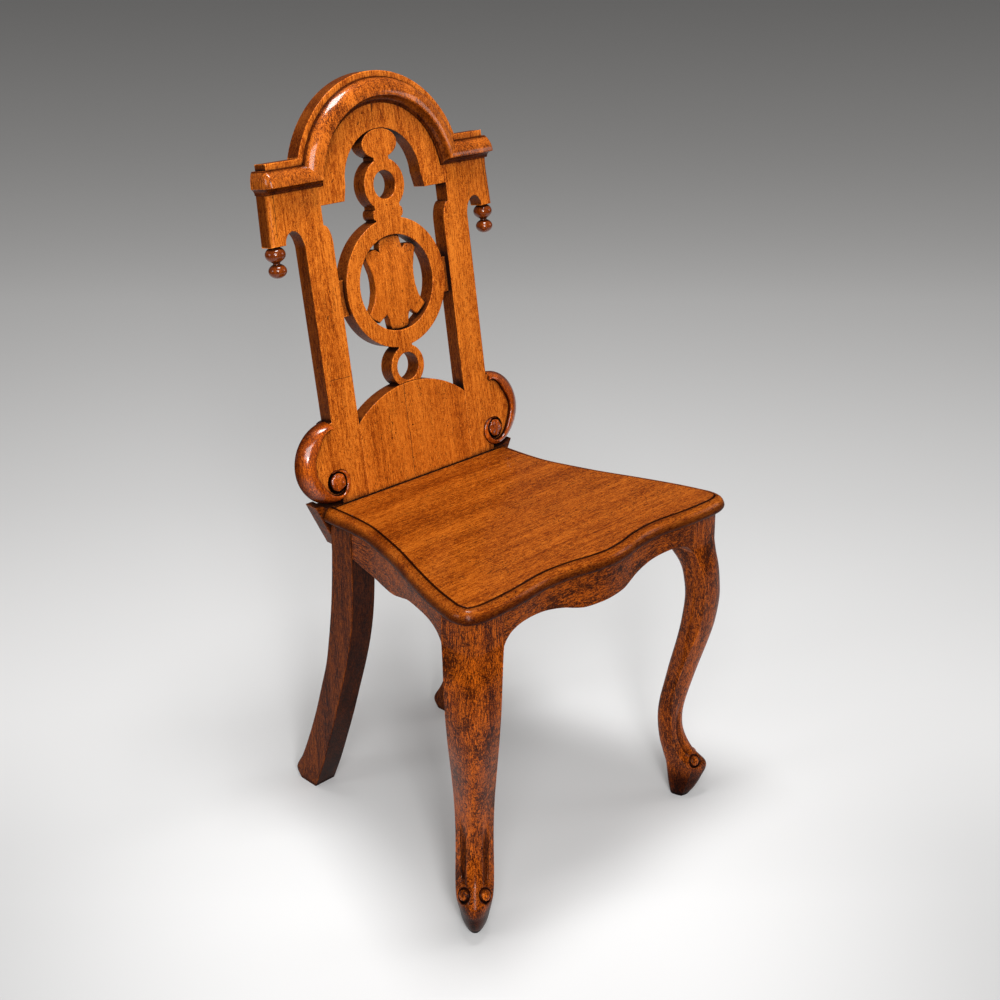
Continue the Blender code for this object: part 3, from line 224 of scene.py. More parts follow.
class HallChairSizes(bpy.types.PropertyGroup):
    """Sizes of the worked detail."""

    softness: length("Edge softness", "How far the sawn edges have worn round", 0.0011, 0.0002, 0.004)
    groove_depth: length(
        "Seat groove depth", "Depth of the line scratched round the seat", 0.0020, 0.0, 0.004)
    groove_width: length(
        "Seat groove width", "Width of the line scratched round the seat", 0.0030, 0.001, 0.006)
    channel_depth: length(
        "Ankle channel depth", "Depth of the two channels above each toe", 0.0040, 0.0, 0.005)
    sides: IntProperty(
        name="Leg sides", description="Points round each section of a front leg",
        default=160, min=24, max=200)


class HallChairFinish(bpy.types.PropertyGroup):
    """Colours of the oak, how worn it is, and its painted shade and highlight."""

    back_light: colour("Back, light", "Light grain of the back", 0.680, 0.185, 0.0180)
    back_mid: colour("Back, middle", "Middle tone of the back", 0.470, 0.103, 0.0070)
    back_dark: colour("Back, dark", "Dark grain of the back", 0.190, 0.030, 0.0020)
    seat_light: colour("Seat, light", "Light grain of the seat", 0.430, 0.108, 0.0085)
    seat_mid: colour("Seat, middle", "Middle tone of the seat", 0.245, 0.045, 0.0018)
    seat_dark: colour("Seat, dark", "Dark grain of the seat", 0.085, 0.012, 0.0010)
    frame_light: colour(
        "Frame, light", "Light flecks of the legs, rails and turned work", 0.430, 0.088, 0.0040)
    frame_mid: colour(
        "Frame, middle", "Middle tone of the legs, rails and turned work", 0.140, 0.022, 0.0015)
    frame_dark: colour(
        "Frame, dark", "Dark tone of the legs, rails and turned work", 0.018, 0.003, 0.0006)
    carved_light: colour("Moulding, light", "Light grain of the mouldings", 0.560, 0.140, 0.0120)
    carved_mid: colour("Moulding, middle", "Middle tone of the mouldings", 0.360, 0.073, 0.0050)
    carved_dark: colour("Moulding, dark", "Dark tone of the mouldings", 0.060, 0.009, 0.0010)
    # The patina colour is also the colour of the painted shade in hollows and of the dark lines.
    patina: colour("Patina", "Old wax and dirt in the hollows", 0.014, 0.0045, 0.003)
    steel: colour("Screw steel", "Colour of the old screws", 0.30, 0.28, 0.26)
    # This also sets the painted shade in hollows and joints.
    dirt: amount("Dirt", "How much patina lies in the hollows", 0.90, subtype="FACTOR")
    # This also sets the painted highlight on the arrises.
    wear: amount("Wear", "How much the arrises have been rubbed bright", 0.70, subtype="FACTOR")


class HallChairStudio(bpy.types.PropertyGroup):
    """Floor, light and camera."""

    floor_tint: colour("Floor tint", "Colour laid over the floor's greys", 1.0, 1.0, 1.0)
    dark_floor: colour(
        "Dark room", "Floor and room colour where the camera doesn't look", 0.09, 0.09, 0.09)
    sky: amount("Room light", "Strength of the even light from all round", 0.30, 2.0)
    overhead: amount(
        "Overhead lamp", "Strength of the lamp over the chair", 31.0, 100.0, unit="POWER")
    key: amount("Key lamp", "Strength of the lamp beside the camera", 42.0, 100.0, unit="POWER")
    show_floor: BoolProperty(name="Floor", description="Lay the studio floor", default=True)


def sizes():
    """The worked sizes set in the panel."""
    return bpy.context.scene.hall_chair_sizes


def finish():
    """The finish set in the panel."""
    return bpy.context.scene.hall_chair_finish


# Curves and outlines

def arc(middle, radii, start, end, steps):
    """Points along an elliptical arc, both ends included, angles in degrees."""
    points = []
    for step in range(steps + 1):
        angle = math.radians(start + (end - start) * step / steps)
        points.append((middle[0] + radii[0] * math.cos(angle), middle[1] + radii[1] * math.sin(angle)))
    return points


def swung(across, up, angle):
    """From an ellipse's middle to its edge at an angle in radians."""
    return Vector((across * math.cos(angle), up * math.sin(angle)))


def smooth_through(rows, steps, ends_mirror=False):
    """A Catmull-Rom curve through rows of numbers, with so many steps in each span."""
    rows = [tuple(row) for row in rows]
    before = tuple(2 * a - b for a, b in zip(rows[0], rows[1]))
    after = tuple(2 * a - b for a, b in zip(rows[-1], rows[-2]))
    if ends_mirror:
        after = (-rows[-2][0],) + rows[-2][1:]
    knots = [before] + rows + [after]
    curve = []
    for index in range(1, len(knots) - 2):
        p0, p1, p2, p3 = knots[index - 1:index + 3]
        for step in range(steps):
            u = step / steps
            curve.append(tuple(
                0.5 * (2 * b + (c - a) * u + (2 * a - 5 * b + 4 * c - d) * u * u
                       + (3 * b - a - 3 * c + d) * u ** 3)
                for a, b, c, d in zip(p0, p1, p2, p3)
            ))
    curve.append(rows[-1])
    return curve


def between(curve, axis, value):
    """The other coordinate of a plane curve where its given axis reaches a value."""
    other = 1 - axis
    for a, b in zip(curve, curve[1:]):
        low, high = sorted((a[axis], b[axis]))
        if low <= value <= high and high > low:
            share = (value - a[axis]) / (b[axis] - a[axis])
            return a[other] + (b[other] - a[other]) * share
    return curve[-1][other]


def clamped(share):
    """A share held from 0 to 1."""
    return min(1.0, max(0.0, share))


def ease(low, high, value):
    """0 below low, 1 above high, and a smooth step between them."""
    share = clamped((value - low) / (high - low))
    return share * share * (3 - 2 * share)


def mirrored(outline):
    """An outline on the other side of the middle, in the opposite order."""
    return [(-s, t) for s, t in reversed(outline)]


def divided(outline, spacing):
    """A closed outline with its long sides cut into shorter ones, doubles left out."""
    points = []
    for index, (s, t) in enumerate(outline):
        ahead = outline[(index + 1) % len(outline)]
        run = math.hypot(ahead[0] - s, ahead[1] - t)
        if run < FIT / 3:
            continue
        pieces = max(1, round(run / spacing))
        for piece in range(pieces):
            share = piece / pieces
            points.append((s + (ahead[0] - s) * share, t + (ahead[1] - t) * share))
    return points


def turned(outline, anticlockwise):
    """The outline in the wanted direction."""
    area = sum(a[0] * b[1] - b[0] * a[1] for a, b in zip(outline, outline[1:] + outline[:1]))
    return outline if (area > 0) == anticlockwise else list(reversed(outline))


def moved_in(outline, distances):
    """A closed outline moved to its left, each edge by its own distance."""
    moved = []
    for index, point in enumerate(outline):
        here = Vector(point)
        before = (here - Vector(outline[index - 1])).normalized()
        after = (Vector(outline[(index + 1) % len(outline)]) - here).normalized()
        first, second = distances[index - 1], distances[index]
        cross = before.x * after.y - before.y * after.x
        if abs(cross) > 0.2:
            step = (after * first - before * second) / cross
            most = 2.5 * max(first, second)
            if step.length > most:
                step = step.normalized() * most
        else:
            along = (before + after).normalized()
            step = Vector((-along.y, along.x)) * (first + second) / 2
        moved.append(tuple(here + step))
    return moved


# Meshes

def with_shade_layer():
    """A new bmesh whose verts can carry a painted shade from 0 to 1."""
    bm = bmesh.new()
    bm.verts.layers.float.new("stain")
    return bm


def ring_of(bm, points):
    """Verts for one ring of points, each with its painted shade where it has a fourth number."""
    stain = bm.verts.layers.float.get("stain")
    ring = []
    for point in points:
        vert = bm.verts.new(point[:3])
        if stain and len(point) > 3:
            vert[stain] = point[3]
        ring.append(vert)
    return ring


def skin(bm, rings, close_ends=True):
    """Quads between rings of equal length, with the ends filled if asked."""
    layers = [ring_of(bm, ring) for ring in rings]
    for lower, upper in zip(layers, layers[1:]):
        for i in range(len(lower)):
            bm.faces.new((lower[i - 1], lower[i], upper[i], upper[i - 1]))
    if close_ends:
        bm.faces.new(list(reversed(layers[0])))
        bm.faces.new(layers[-1])
    return layers


def rim(bm, layer):
    """The edges from vert to vert round a ring."""
    return [bm.edges.get((layer[i - 1], layer[i])) for i in range(len(layer))]


def fill(bm, edges):
    """Fill the flat space that closed runs of edges go round."""
    bmesh.ops.triangle_fill(bm, use_beauty=True, use_dissolve=False, edges=edges)


def board(bm, outlines, back, front, softness, steps=4, spacing=0.006, wear=None):
    """A flat board with worn arrises: the first outline is its edge, the others its piercings.

    wear gives the share of the softness at a place on the edge, where it isn't 1 all round.
    """
    levels = [(1 - math.sin(math.pi / 2 * step / steps), 1 - math.cos(math.pi / 2 * step / steps))
              for step in range(steps + 1)]
    caps = ([], [])
    for number, outline in enumerate(outlines):
        outline = turned(divided(outline, spacing), number == 0)
        ahead = outline[1:] + outline[:1]
        worn = [softness * (wear((a[0] + b[0]) / 2, (a[1] + b[1]) / 2) if wear else 1.0)
                for a, b in zip(outline, ahead)]
        drop = [max(worn[i - 1], worn[i]) for i in range(len(worn))]
        rings = []
        for inward, down in levels:
            plan = moved_in(outline, [min(distance, softness) * inward for distance in worn])
            rings.append([(*point, back + min(fall, softness) * down) for point, fall in zip(plan, drop)])
        for inward, down in reversed(levels):
            plan = moved_in(outline, [distance * inward for distance in worn])
            rings.append([(*point, front - fall * down) for point, fall in zip(plan, drop)])
        layers = skin(bm, rings, close_ends=False)
        for cap, layer in zip(caps, (layers[0], layers[-1])):
            cap += rim(bm, layer)
    for cap in caps:
        fill(bm, cap)


def lathe(profile, steps, matrix):
    """A separate bmesh of a turned shape, welded and placed."""
    bm = with_shade_layer()
    verts = ring_of(bm, [(row[0], 0, row[1], *row[2:]) for row in profile])
    edges = [bm.edges.new(pair) for pair in zip(verts, verts[1:])]
    bmesh.ops.spin(bm, geom=verts + edges, cent=(0, 0, 0), axis=(0, 0, 1), angle=math.tau, steps=steps)
    bmesh.ops.remove_doubles(bm, verts=bm.verts, dist=1e-6)
    bmesh.ops.recalc_face_normals(bm, faces=bm.faces)
    bmesh.ops.transform(bm, matrix=matrix, verts=bm.verts)
    return bm


def mesh_of(name, bm):
    """A new mesh of a bmesh, which is freed."""
    mesh = bpy.data.meshes.new(name)
    bm.to_mesh(mesh)
    bm.free()
    return mesh


def object_of(name, data):
    """A new object in the scene."""
    made = bpy.data.objects.new(name, data)
    bpy.context.scene.collection.objects.link(made)
    return made


def join_in(bm, other):
    """Add another bmesh's shape to this one."""
    carrier = mesh_of("carrier", other)
    bm.from_mesh(carrier)
    bpy.data.meshes.remove(carrier)


def left_twin(bm):
    """A mirrored copy of a right-hand shape."""
    twin = bm.copy()
    bmesh.ops.transform(twin, matrix=Matrix.Diagonal((-1, 1, 1, 1)), verts=twin.verts)
    bmesh.ops.reverse_faces(twin, faces=twin.faces)
    return twin


def both_sides(bm):
    """A right-hand shape and its left-hand twin, each with its side and its sign in X."""
    return ("right", bm, 1), ("left", left_twin(bm), -1)


def cut_away(bm, cutter):
    """Cut one closed shape out of another."""
    pair = []
    for name, shape in (("whole", bm), ("cutter", cutter)):
        mesh = bpy.data.meshes.new(name)
        shape.to_mesh(mesh)
        shape.clear()
        pair.append(object_of(name, mesh))
    cut = pair[0].modifiers.new("cut", "BOOLEAN")
    cut.operation = "DIFFERENCE"
    cut.object = pair[1]
    bake_modifiers(pair[0])
    bm.from_mesh(pair[0].data)
    for piece in pair:
        bpy.data.objects.remove(piece, do_unlink=True)


def place(name, bm, material, slot, nodes, matrix=None, sharp=38, weigh=True):
    """Finish a shape as an object of the chair that stands for its solids."""
    bmesh.ops.remove_doubles(bm, verts=bm.verts, dist=1e-6)
    bmesh.ops.recalc_face_normals(bm, faces=bm.faces)
    if matrix:
        bmesh.ops.transform(bm, matrix=matrix, verts=bm.verts)
    mesh = mesh_of(name, bm)
    mesh.shade_smooth()
    mesh.set_sharp_from_angle(angle=math.radians(sharp))
    made = object_of(name, mesh)
    if weigh:
        made.modifiers.new("even", "WEIGHTED_NORMAL").keep_sharp = True
        bake_modifiers(made)
    made.data.materials.clear()
    made.data.materials.append(material)
    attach(made, "root")
    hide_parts(*nodes)


def bake_modifiers(piece):
    """Keep an object's evaluated shape as its plain mesh."""
    bpy.context.view_layer.update()
    evaluated = piece.evaluated_get(bpy.context.evaluated_depsgraph_get())
    result = bpy.data.meshes.new_from_object(evaluated)
    result.name = piece.name
    piece.modifiers.clear()
    piece.data = result


def place_pair(name, bm, material, slot, nodes, matrix=None, **settings):
    """Place a right-hand shape and its left-hand twin."""
    for side, shape, _ in both_sides(bm):
        place(f"{name}_{side}", shape, material, slot, [f"{node}_{side}" for node in nodes],
              matrix, **settings)


def soften_node(node, softness):
    """A copy of a solid with its arrises rounded, as a bmesh."""
    bm = bmesh.new()
    bm.from_mesh(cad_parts[node].data)
    bmesh.ops.remove_doubles(bm, verts=bm.verts, dist=1e-5)
    bmesh.ops.dissolve_limit(bm, angle_limit=math.radians(3), verts=bm.verts, edges=bm.edges)
    sharp = [edge for edge in bm.edges if len(edge.link_faces) == 2
             and edge.calc_face_angle() > math.radians(30)]
    bmesh.ops.bevel(bm, geom=sharp, offset=softness, offset_type="OFFSET", segments=3,
                    profile=0.5, affect="EDGES", clamp_overlap=True)
    return bm


# Nodes

NUMBER, COLOUR, VECTOR, GEOMETRY = (
    "NodeSocketFloat", "NodeSocketColor", "NodeSocketVector", "NodeSocketGeometry")
BLACK = (0.0, 0.0, 0.0, 1.0)


class Wire:
    """A node's output, whose sums, differences, products and quotients are Math nodes."""

    def __init__(self, tree, socket):
        self.tree = tree
        self.socket = socket

    def __add__(self, other):
        return maths("ADD", self, other)

    def __sub__(self, other):
        return maths("SUBTRACT", self, other)

    def __rsub__(self, other):
        return maths("SUBTRACT", other, self)

    def __mul__(self, other):
        return maths("MULTIPLY", self, other)

    def __truediv__(self, other):
        return maths("DIVIDE", self, other)

    def __rtruediv__(self, other):
        return maths("DIVIDE", other, self)

    def __abs__(self):
        return maths("ABSOLUTE", self)


def feed(node, links):
    """Set or link a node's inputs."""
    for key, value in links.items():
        if isinstance(value, Wire):
            value.tree.links.new(value.socket, node.inputs[key])
        else:
            node.inputs[key].default_value = value


def node_in(tree, kind, links=None, **settings):
    """Add a node, set its properties, and set or link its inputs."""
    node = tree.nodes.new(kind)
    for key, value in settings.items():
        setattr(node, key, value)
    feed(node, links or {})
    return node


def wire(tree, kind, links=None, output=0, **settings):
    """One output of a new node."""
    return Wire(tree, node_in(tree, kind, links, **settings).outputs[output])


def wires(tree, node):
    """A node's outputs by name."""
    return {socket.name: Wire(tree, socket) for socket in node.outputs}


def maths(operation, first, second=0.0, clamp=False):
    """A Math node's result."""
    tree = (first if isinstance(first, Wire) else second).tree
    return wire(tree, "ShaderNodeMath", {0: first, 1: second}, operation=operation, use_clamp=clamp)


def vectors(operation, first, second, output="Vector"):
    """A Vector Math node's result, for a second vector or, to scale, a number."""
    links = {0: first, "Scale" if operation == "SCALE" else 1: second}
    return wire(first.tree, "ShaderNodeVectorMath", links, output, operation=operation)


def blend(amount, first, second, mode="MIX"):
    """A colour mix's result."""
    tree = next(value.tree for value in (amount, first) if isinstance(value, Wire))
    return wire(tree, "ShaderNodeMix", {0: amount, 6: first, 7: second}, 2, data_type="RGBA",
                blend_type=mode, clamp_factor=True)


def spread(value, low, high, to_low=0.0, to_high=1.0):
    """A value moved from one range to another by a smooth step, held inside it."""
    return wire(value.tree, "ShaderNodeMapRange", {
        "Value": value, "From Min": low, "From Max": high, "To Min": to_low, "To Max": to_high,
    }, "Result", interpolation_type="SMOOTHSTEP", clamp=True)


def cloud(place_in, scale, detail=4.0, roughness=0.55, distortion=0.0, along=None):
    """Noise at a scale per metre, drawn out along Y where along is under 1."""
    if along is not None:
        place_in = vectors("MULTIPLY", place_in, (1.0, along, 1.0))
    return wire(place_in.tree, "ShaderNodeTexNoise", {
        "Vector": place_in, "Scale": scale, "Detail": detail, "Roughness": roughness,
        "Distortion": distortion,
    }, "Fac")


def coordinate(tree, label):
    """One of the texture coordinates."""
    return wire(tree, "ShaderNodeTexCoord", output=label)


def start_group(name, inputs, outputs, kind="ShaderNodeTree"):
    """A new node group with its named sockets: the tree, its inputs as wires and its end node."""
    tree = bpy.data.node_groups.new(name, kind)
    for label, socket_type, value, *unit in inputs:
        socket = tree.interface.new_socket(label, in_out="INPUT", socket_type=socket_type)
        if value is not None:
            socket.default_value = value
        if unit:
            socket.subtype = unit[0]
    for label, socket_type in outputs:
        tree.interface.new_socket(label, in_out="OUTPUT", socket_type=socket_type)
    return tree, wires(tree, tree.nodes.new("NodeGroupInput")), tree.nodes.new("NodeGroupOutput")


def end_geometry(tree, out, geometry, material):
    """Realize a Geometry Nodes tree's instances, give them their material and end the tree."""
    real = wire(tree, "GeometryNodeRealizeInstances", {"Geometry": geometry})
    dressed = wire(tree, "GeometryNodeSetMaterial", {"Geometry": real, "Material": material})
    feed(out, {"Geometry": dressed})


def start_material(name):
    """A new material and its node tree."""
    made = bpy.data.materials.new(name)
    made.use_nodes = True
    return made, made.node_tree


def oak_grain_group():
    """Oak figure: bands, dashes, pores, ray flecks and mottling along the board's own Y."""
    made = bpy.data.node_groups.get("oak_grain")
    if made:
        return made
    tree, given, out = start_group("oak_grain", (
        ("Vector", VECTOR, None), ("Light", COLOUR, None), ("Middle", COLOUR, None),
        ("Dark", COLOUR, None), ("Band Scale", NUMBER, 55.0), ("Pores", NUMBER, 0.7),
        ("Flecks", NUMBER, 0.3), ("Mottle", NUMBER, 0.3), ("Streaks", NUMBER, 0.6),
    ), (("Color", COLOUR), ("Height", NUMBER), ("Polish", NUMBER)))
    place_in = given["Vector"]
    sway = (cloud(place_in, 14.0, 2.0, along=0.16) - 0.5) * 0.012
    swayed = vectors("ADD", place_in, wire(tree, "ShaderNodeCombineXYZ", {"X": sway, "Z": sway}))
    bands = cloud(swayed, given["Band Scale"], 4.0, 0.60, 0.15, along=0.06)
    dashes = cloud(swayed, 800.0, 3.0, 0.65, along=0.13)
    fibres = cloud(swayed, 640.0, 3.0, 0.6, along=0.012)
    speckle = cloud(swayed, 1500.0, 1.0, 0.5, along=0.6)
    figure = 0.5
    for pattern, weight in ((bands, 1.6), (dashes, 2.6), (fibres, 1.3), (speckle, 2.2)):
        figure = (pattern - 0.5) * weight * given["Streaks"] + figure
    shade = blend(spread(figure, 0.46, 0.86), given["Middle"], given["Light"])
    shade = blend(spread(figure, 0.50, 0.10), shade, given["Dark"])
    broken = cloud(place_in, 560.0, 3.0, 0.6, along=0.4)
    mottle = cloud(swayed, 40.0, 5.0, 0.66, 0.6, along=0.5) + (broken - 0.5) * 0.75
    mottle = spread(mottle, 0.50, 0.64)
    shade = blend(mottle * given["Mottle"], shade, given["Dark"])
    flecks = spread(cloud(swayed, 120.0, 4.0, 0.62, 1.2, along=2.4), 0.52, 0.62)
    flecks = flecks * spread(cloud(place_in, 32.0, 2.0), 0.40, 0.62)
    shade = blend(flecks * given["Flecks"], shade, given["Light"])
    pores = spread(cloud(swayed, 950.0, 2.0, 0.55, along=0.24), 0.57, 0.64)
    pores = pores * spread(cloud(swayed, 70.0, 2.0, along=0.20), 0.40, 0.60)
    worm = spread(cloud(place_in, 300.0, 1.0, 0.4), 0.69, 0.72)
    worm = worm * spread(cloud(place_in, 26.0, 1.0), 0.45, 0.60)
    pits = maths("ADD", pores * 0.75, worm, clamp=True)
    swell = cloud(place_in, 38.0, 1.0, along=0.6)
    feed(out, {
        "Color": blend(pits * given["Pores"], shade, blend(0.80, given["Dark"], BLACK)),
        "Height": pits * -0.60 + dashes * 0.28 + swell * 1.3,
        "Polish": pits * 0.35 + mottle * 0.10,
    })
    return tree


def handling_and_shading_group():
    """Patina and painted shade in hollows, arrises rubbed and lit with a painted highlight, and painted
    shade on a board's sides away from its face.
    """
    made = bpy.data.node_groups.get("handling")
    if made:
        return made
    tree, given, out = start_group("handling", (
        ("Color", COLOUR, None), ("Patina", COLOUR, None), ("Position", VECTOR, None),
        ("Normal", VECTOR, None), ("Face", VECTOR, None), ("Dirt", NUMBER, 0.9),
        ("Wear", NUMBER, 0.5), ("Dirt Reach", NUMBER, 0.012), ("Sawn Edges", NUMBER, 0.0),
    ), (("Color", COLOUR), ("Dirt", NUMBER)))
    wobble = cloud(given["Position"], 110.0, 4.0) - 0.5
    # Painted shade and patina: occlusion darkens hollows, corners and joints towards the patina colour.
    hollow = wire(tree, "ShaderNodeAmbientOcclusion", {"Distance": given["Dirt Reach"]}, "AO",
                  samples=8, only_local=False)
    dirt = spread(1.0 - hollow + wobble * 0.16, 0.10, 0.46) * given["Dirt"]
    # Wear and painted highlight: arrises found by inside occlusion are brightened, most in blue.
    arris = wire(tree, "ShaderNodeAmbientOcclusion", {"Distance": 0.0024}, "AO",
                 samples=8, inside=True, only_local=True)
    rubbed_and_highlit = spread(1.0 - arris + wobble * 0.6, 0.20, 0.48) * given["Wear"]
    # Painted shade: surfaces turned away from the board's face, its sides, are darkened.
    facing = vectors("DOT_PRODUCT", given["Normal"], given["Face"], "Value")
    sawn = spread(abs(facing), 0.75, 0.22) * given["Sawn Edges"]
    darker = blend(1.0, given["Color"], (0.15, 0.11, 0.13, 1.0), "MULTIPLY")
    brighter = blend(1.0, given["Color"], (2.1, 2.4, 3.4, 1.0), "MULTIPLY")
    shade = blend(rubbed_and_highlit, blend(sawn, given["Color"], darker), brighter)
    feed(out, {"Color": blend(dirt, shade, given["Patina"]), "Dirt": dirt})
    return tree


def dark_line_group():
    """A thin dark line from one place on a board's face to another, a little uneven."""
    made = bpy.data.node_groups.get("scratch")
    if made:
        return made
    tree, given, out = start_group("scratch", (
        ("Position", VECTOR, None), ("Start", VECTOR, None), ("End", VECTOR, None),
        ("Width", NUMBER, 0.0006), ("Wander", NUMBER, 0.0020),
    ), (("Line", NUMBER),))
    wander = wire(tree, "ShaderNodeTexNoise",
                  {"Vector": given["Position"], "Scale": 120.0, "Detail": 3.0}, "Color")
    wander = vectors("SCALE", vectors("SUBTRACT", wander, (0.5, 0.5, 0.5)), given["Wander"])
    here = vectors("MULTIPLY", vectors("ADD", given["Position"], wander), (1.0, 1.0, 0.0))
    away = vectors("SUBTRACT", here, given["Start"])
    run = vectors("SUBTRACT", given["End"], given["Start"])
    share = maths("DIVIDE", vectors("DOT_PRODUCT", away, run, "Value"),
                  vectors("DOT_PRODUCT", run, run, "Value"), clamp=True)
    off = vectors("DISTANCE", away, vectors("SCALE", run, share), "Value")
    feed(out, {"Line": spread(off / given["Width"], 1.0, 0.35)})
    return tree


# How the grain lies: the origin of its own frame and that frame's turn.
UPRIGHT = ((0, 0, 0), (math.pi / 2, 0, 0))
ACROSS = ((0, 0, 0), (0, 0, -math.pi / 2))
FORE_AND_AFT = ((0, 0, 0), (0, 0, 0))
UP_THE_BACK = ((0, Y_BACK, SEAT_HEIGHT), (math.pi / 2 - RAKE, 0, 0))
BACK_FACE = (0.0, -math.cos(RAKE), math.sin(RAKE))


def oak(name, tones, lie, offset, band=60.0, pores=0.7, flecks=0.0, mottle=0.25, streaks=0.8,
        face=(0, 0, 0), sawn=0.0, dirt=1.0, wear=1.0, reach=0.010, gloss=0.36, bump=0.35, wax=0.08,
        wax_rough=0.16, scratches=()):
    """One board's waxed oak, made once: its tones, how its grain lies, how worn it is, and its painted
    shade and highlight.
    """
    made = bpy.data.materials.get(name)
    if made:
        return made
    look = finish()
    made, tree = start_material(name)
    laid = wire(tree, "ShaderNodeMapping", {
        "Vector": coordinate(tree, "Object"), "Location": lie[0], "Rotation": lie[1],
    }, vector_type="TEXTURE")
    shifted = wire(tree, "ShaderNodeMapping", {"Vector": laid, "Location": offset}, vector_type="POINT")
    light, middle, dark = tones
    grain = wires(tree, node_in(tree, "ShaderNodeGroup", {
        "Vector": shifted, "Light": light, "Middle": middle, "Dark": dark, "Band Scale": band,
        "Pores": pores, "Flecks": flecks, "Mottle": mottle, "Streaks": streaks,
    }, node_tree=oak_grain_group()))
    # The group's colour carries patina and wear, and the painted shade and highlight.
    worn = wires(tree, node_in(tree, "ShaderNodeGroup", {
        "Color": grain["Color"], "Position": shifted, "Normal": coordinate(tree, "Normal"),
        "Patina": tuple(look.patina), "Face": face, "Dirt": look.dirt * dirt,
        "Wear": look.wear * wear, "Dirt Reach": reach, "Sawn Edges": sawn,
    }, node_tree=handling_and_shading_group()))
    # The vertex layer read here holds painted shade, which darkens grooves, hollows, undersides and lower
    # sides.
    shade_amount = spread(wire(tree, "ShaderNodeAttribute", output="Fac", attribute_name="stain"), 0.0, 0.85)
    shaded_colour = blend(1.0, worn["Color"], (0.16, 0.12, 0.14, 1.0), "MULTIPLY")
    shade = blend(shade_amount, worn["Color"], shaded_colour)
    relief = grain["Height"]
    # Dark lines: cracks, joints and marks, and painted shadow lines where the back meets the seat.
    for start, end, width, depth in scratches:
        line = wire(tree, "ShaderNodeGroup", {
            "Position": laid, "Start": (*start, 0.0), "End": (*end, 0.0), "Width": width,
        }, node_tree=dark_line_group())
        shade = blend(line * depth, shade, tuple(look.patina))
        relief = relief - line * depth
    dull = maths("MAXIMUM", shade_amount, worn["Dirt"] * 0.7)
    feed(tree.nodes["Principled BSDF"], {
        "Base Color": shade,
        "Roughness": grain["Polish"] * 0.30 + gloss + worn["Dirt"] * 0.20,
        "Specular IOR Level": 0.04,
        "Coat Weight": (1.0 - dull) * wax,
        "Coat Roughness": wax_rough,
        "Normal": wire(tree, "ShaderNodeBump", {
            "Strength": bump, "Distance": 0.0006, "Height": relief}),
    })
    return made


def tones_of(part, depth=1.0):
    """The light, middle and dark tone set for a part, made darker for a depth under 1."""
    tones = [getattr(finish(), f"{part}_{tone}") for tone in ("light", "mid", "dark")]
    return [(*(value * depth for value in tone[:3]), 1.0) for tone in tones]


def back_oak(name, offset, **settings):
    """Oak for a board of the back, its grain running up, with painted shade on its sides."""
    return oak(name, tones_of("back"), UP_THE_BACK, offset, face=BACK_FACE, sawn=0.85, **settings)


def screw_steel():
    """Old dull steel."""
    made = bpy.data.materials.get("dulled_screws")
    if made:
        return made
    made, tree = start_material("dulled_screws")
    rust = spread(cloud(coordinate(tree, "Object"), 600.0, 5.0), 0.45, 0.68)
    feed(tree.nodes["Principled BSDF"], {
        "Base Color": blend(rust, tuple(finish().steel), (0.09, 0.035, 0.015, 1.0)),
        "Roughness": spread(rust, 0.0, 1.0, 0.38, 0.75),
        "Metallic": maths("SUBTRACT", 1.0, rust, clamp=True),
    })
    return made


# Seat

def seat_edge(inset, steps=6):
    """The right half of the seat's edge, back corner to front middle, moved in by an inset."""
    rows = [(x * SEAT_WIDTH / 2, Y_BACK - y * SEAT_DEPTH) for x, y in SEAT_EDGE]
    curve = smooth_through(rows, steps, ends_mirror=True)
    moved = []
    for i, (x, y) in enumerate(curve):
        last = curve[max(i - 1, 0)]
        following = curve[i + 1] if i + 1 < len(curve) else (-curve[i - 1][0], curve[i - 1][1])
        run = Vector((following[0] - last[0], following[1] - last[1])).normalized()
        moved.append((x + run.y * inset, y - run.x * inset))
    return moved


def uncrossed(curve, edge, inset):
    """A moved-in curve with each run of points that came too near its edge drawn together."""
    near = [min((Vector(point) - Vector(place)).length for place in edge) < inset * 0.985
            for point in curve]
    result = list(curve)
    index = 0
    while index < len(curve):
        if near[index]:
            stop = index
            while stop < len(curve) - 1 and near[stop]:
                stop += 1
            first, last = curve[max(index - 1, 0)], curve[stop]
            middle = ((first[0] + last[0]) / 2, (first[1] + last[1]) / 2)
            for crossed in range(index, stop):
                result[crossed] = middle
            index = stop
        index += 1
    return result


def apron_face(axis, value):
    """Where the aprons' outer face runs: y at a given x along the front, or x at a given y."""
    curve = seat_edge(APRON_INSET)
    return between(curve if axis else list(reversed(curve)), axis, value)


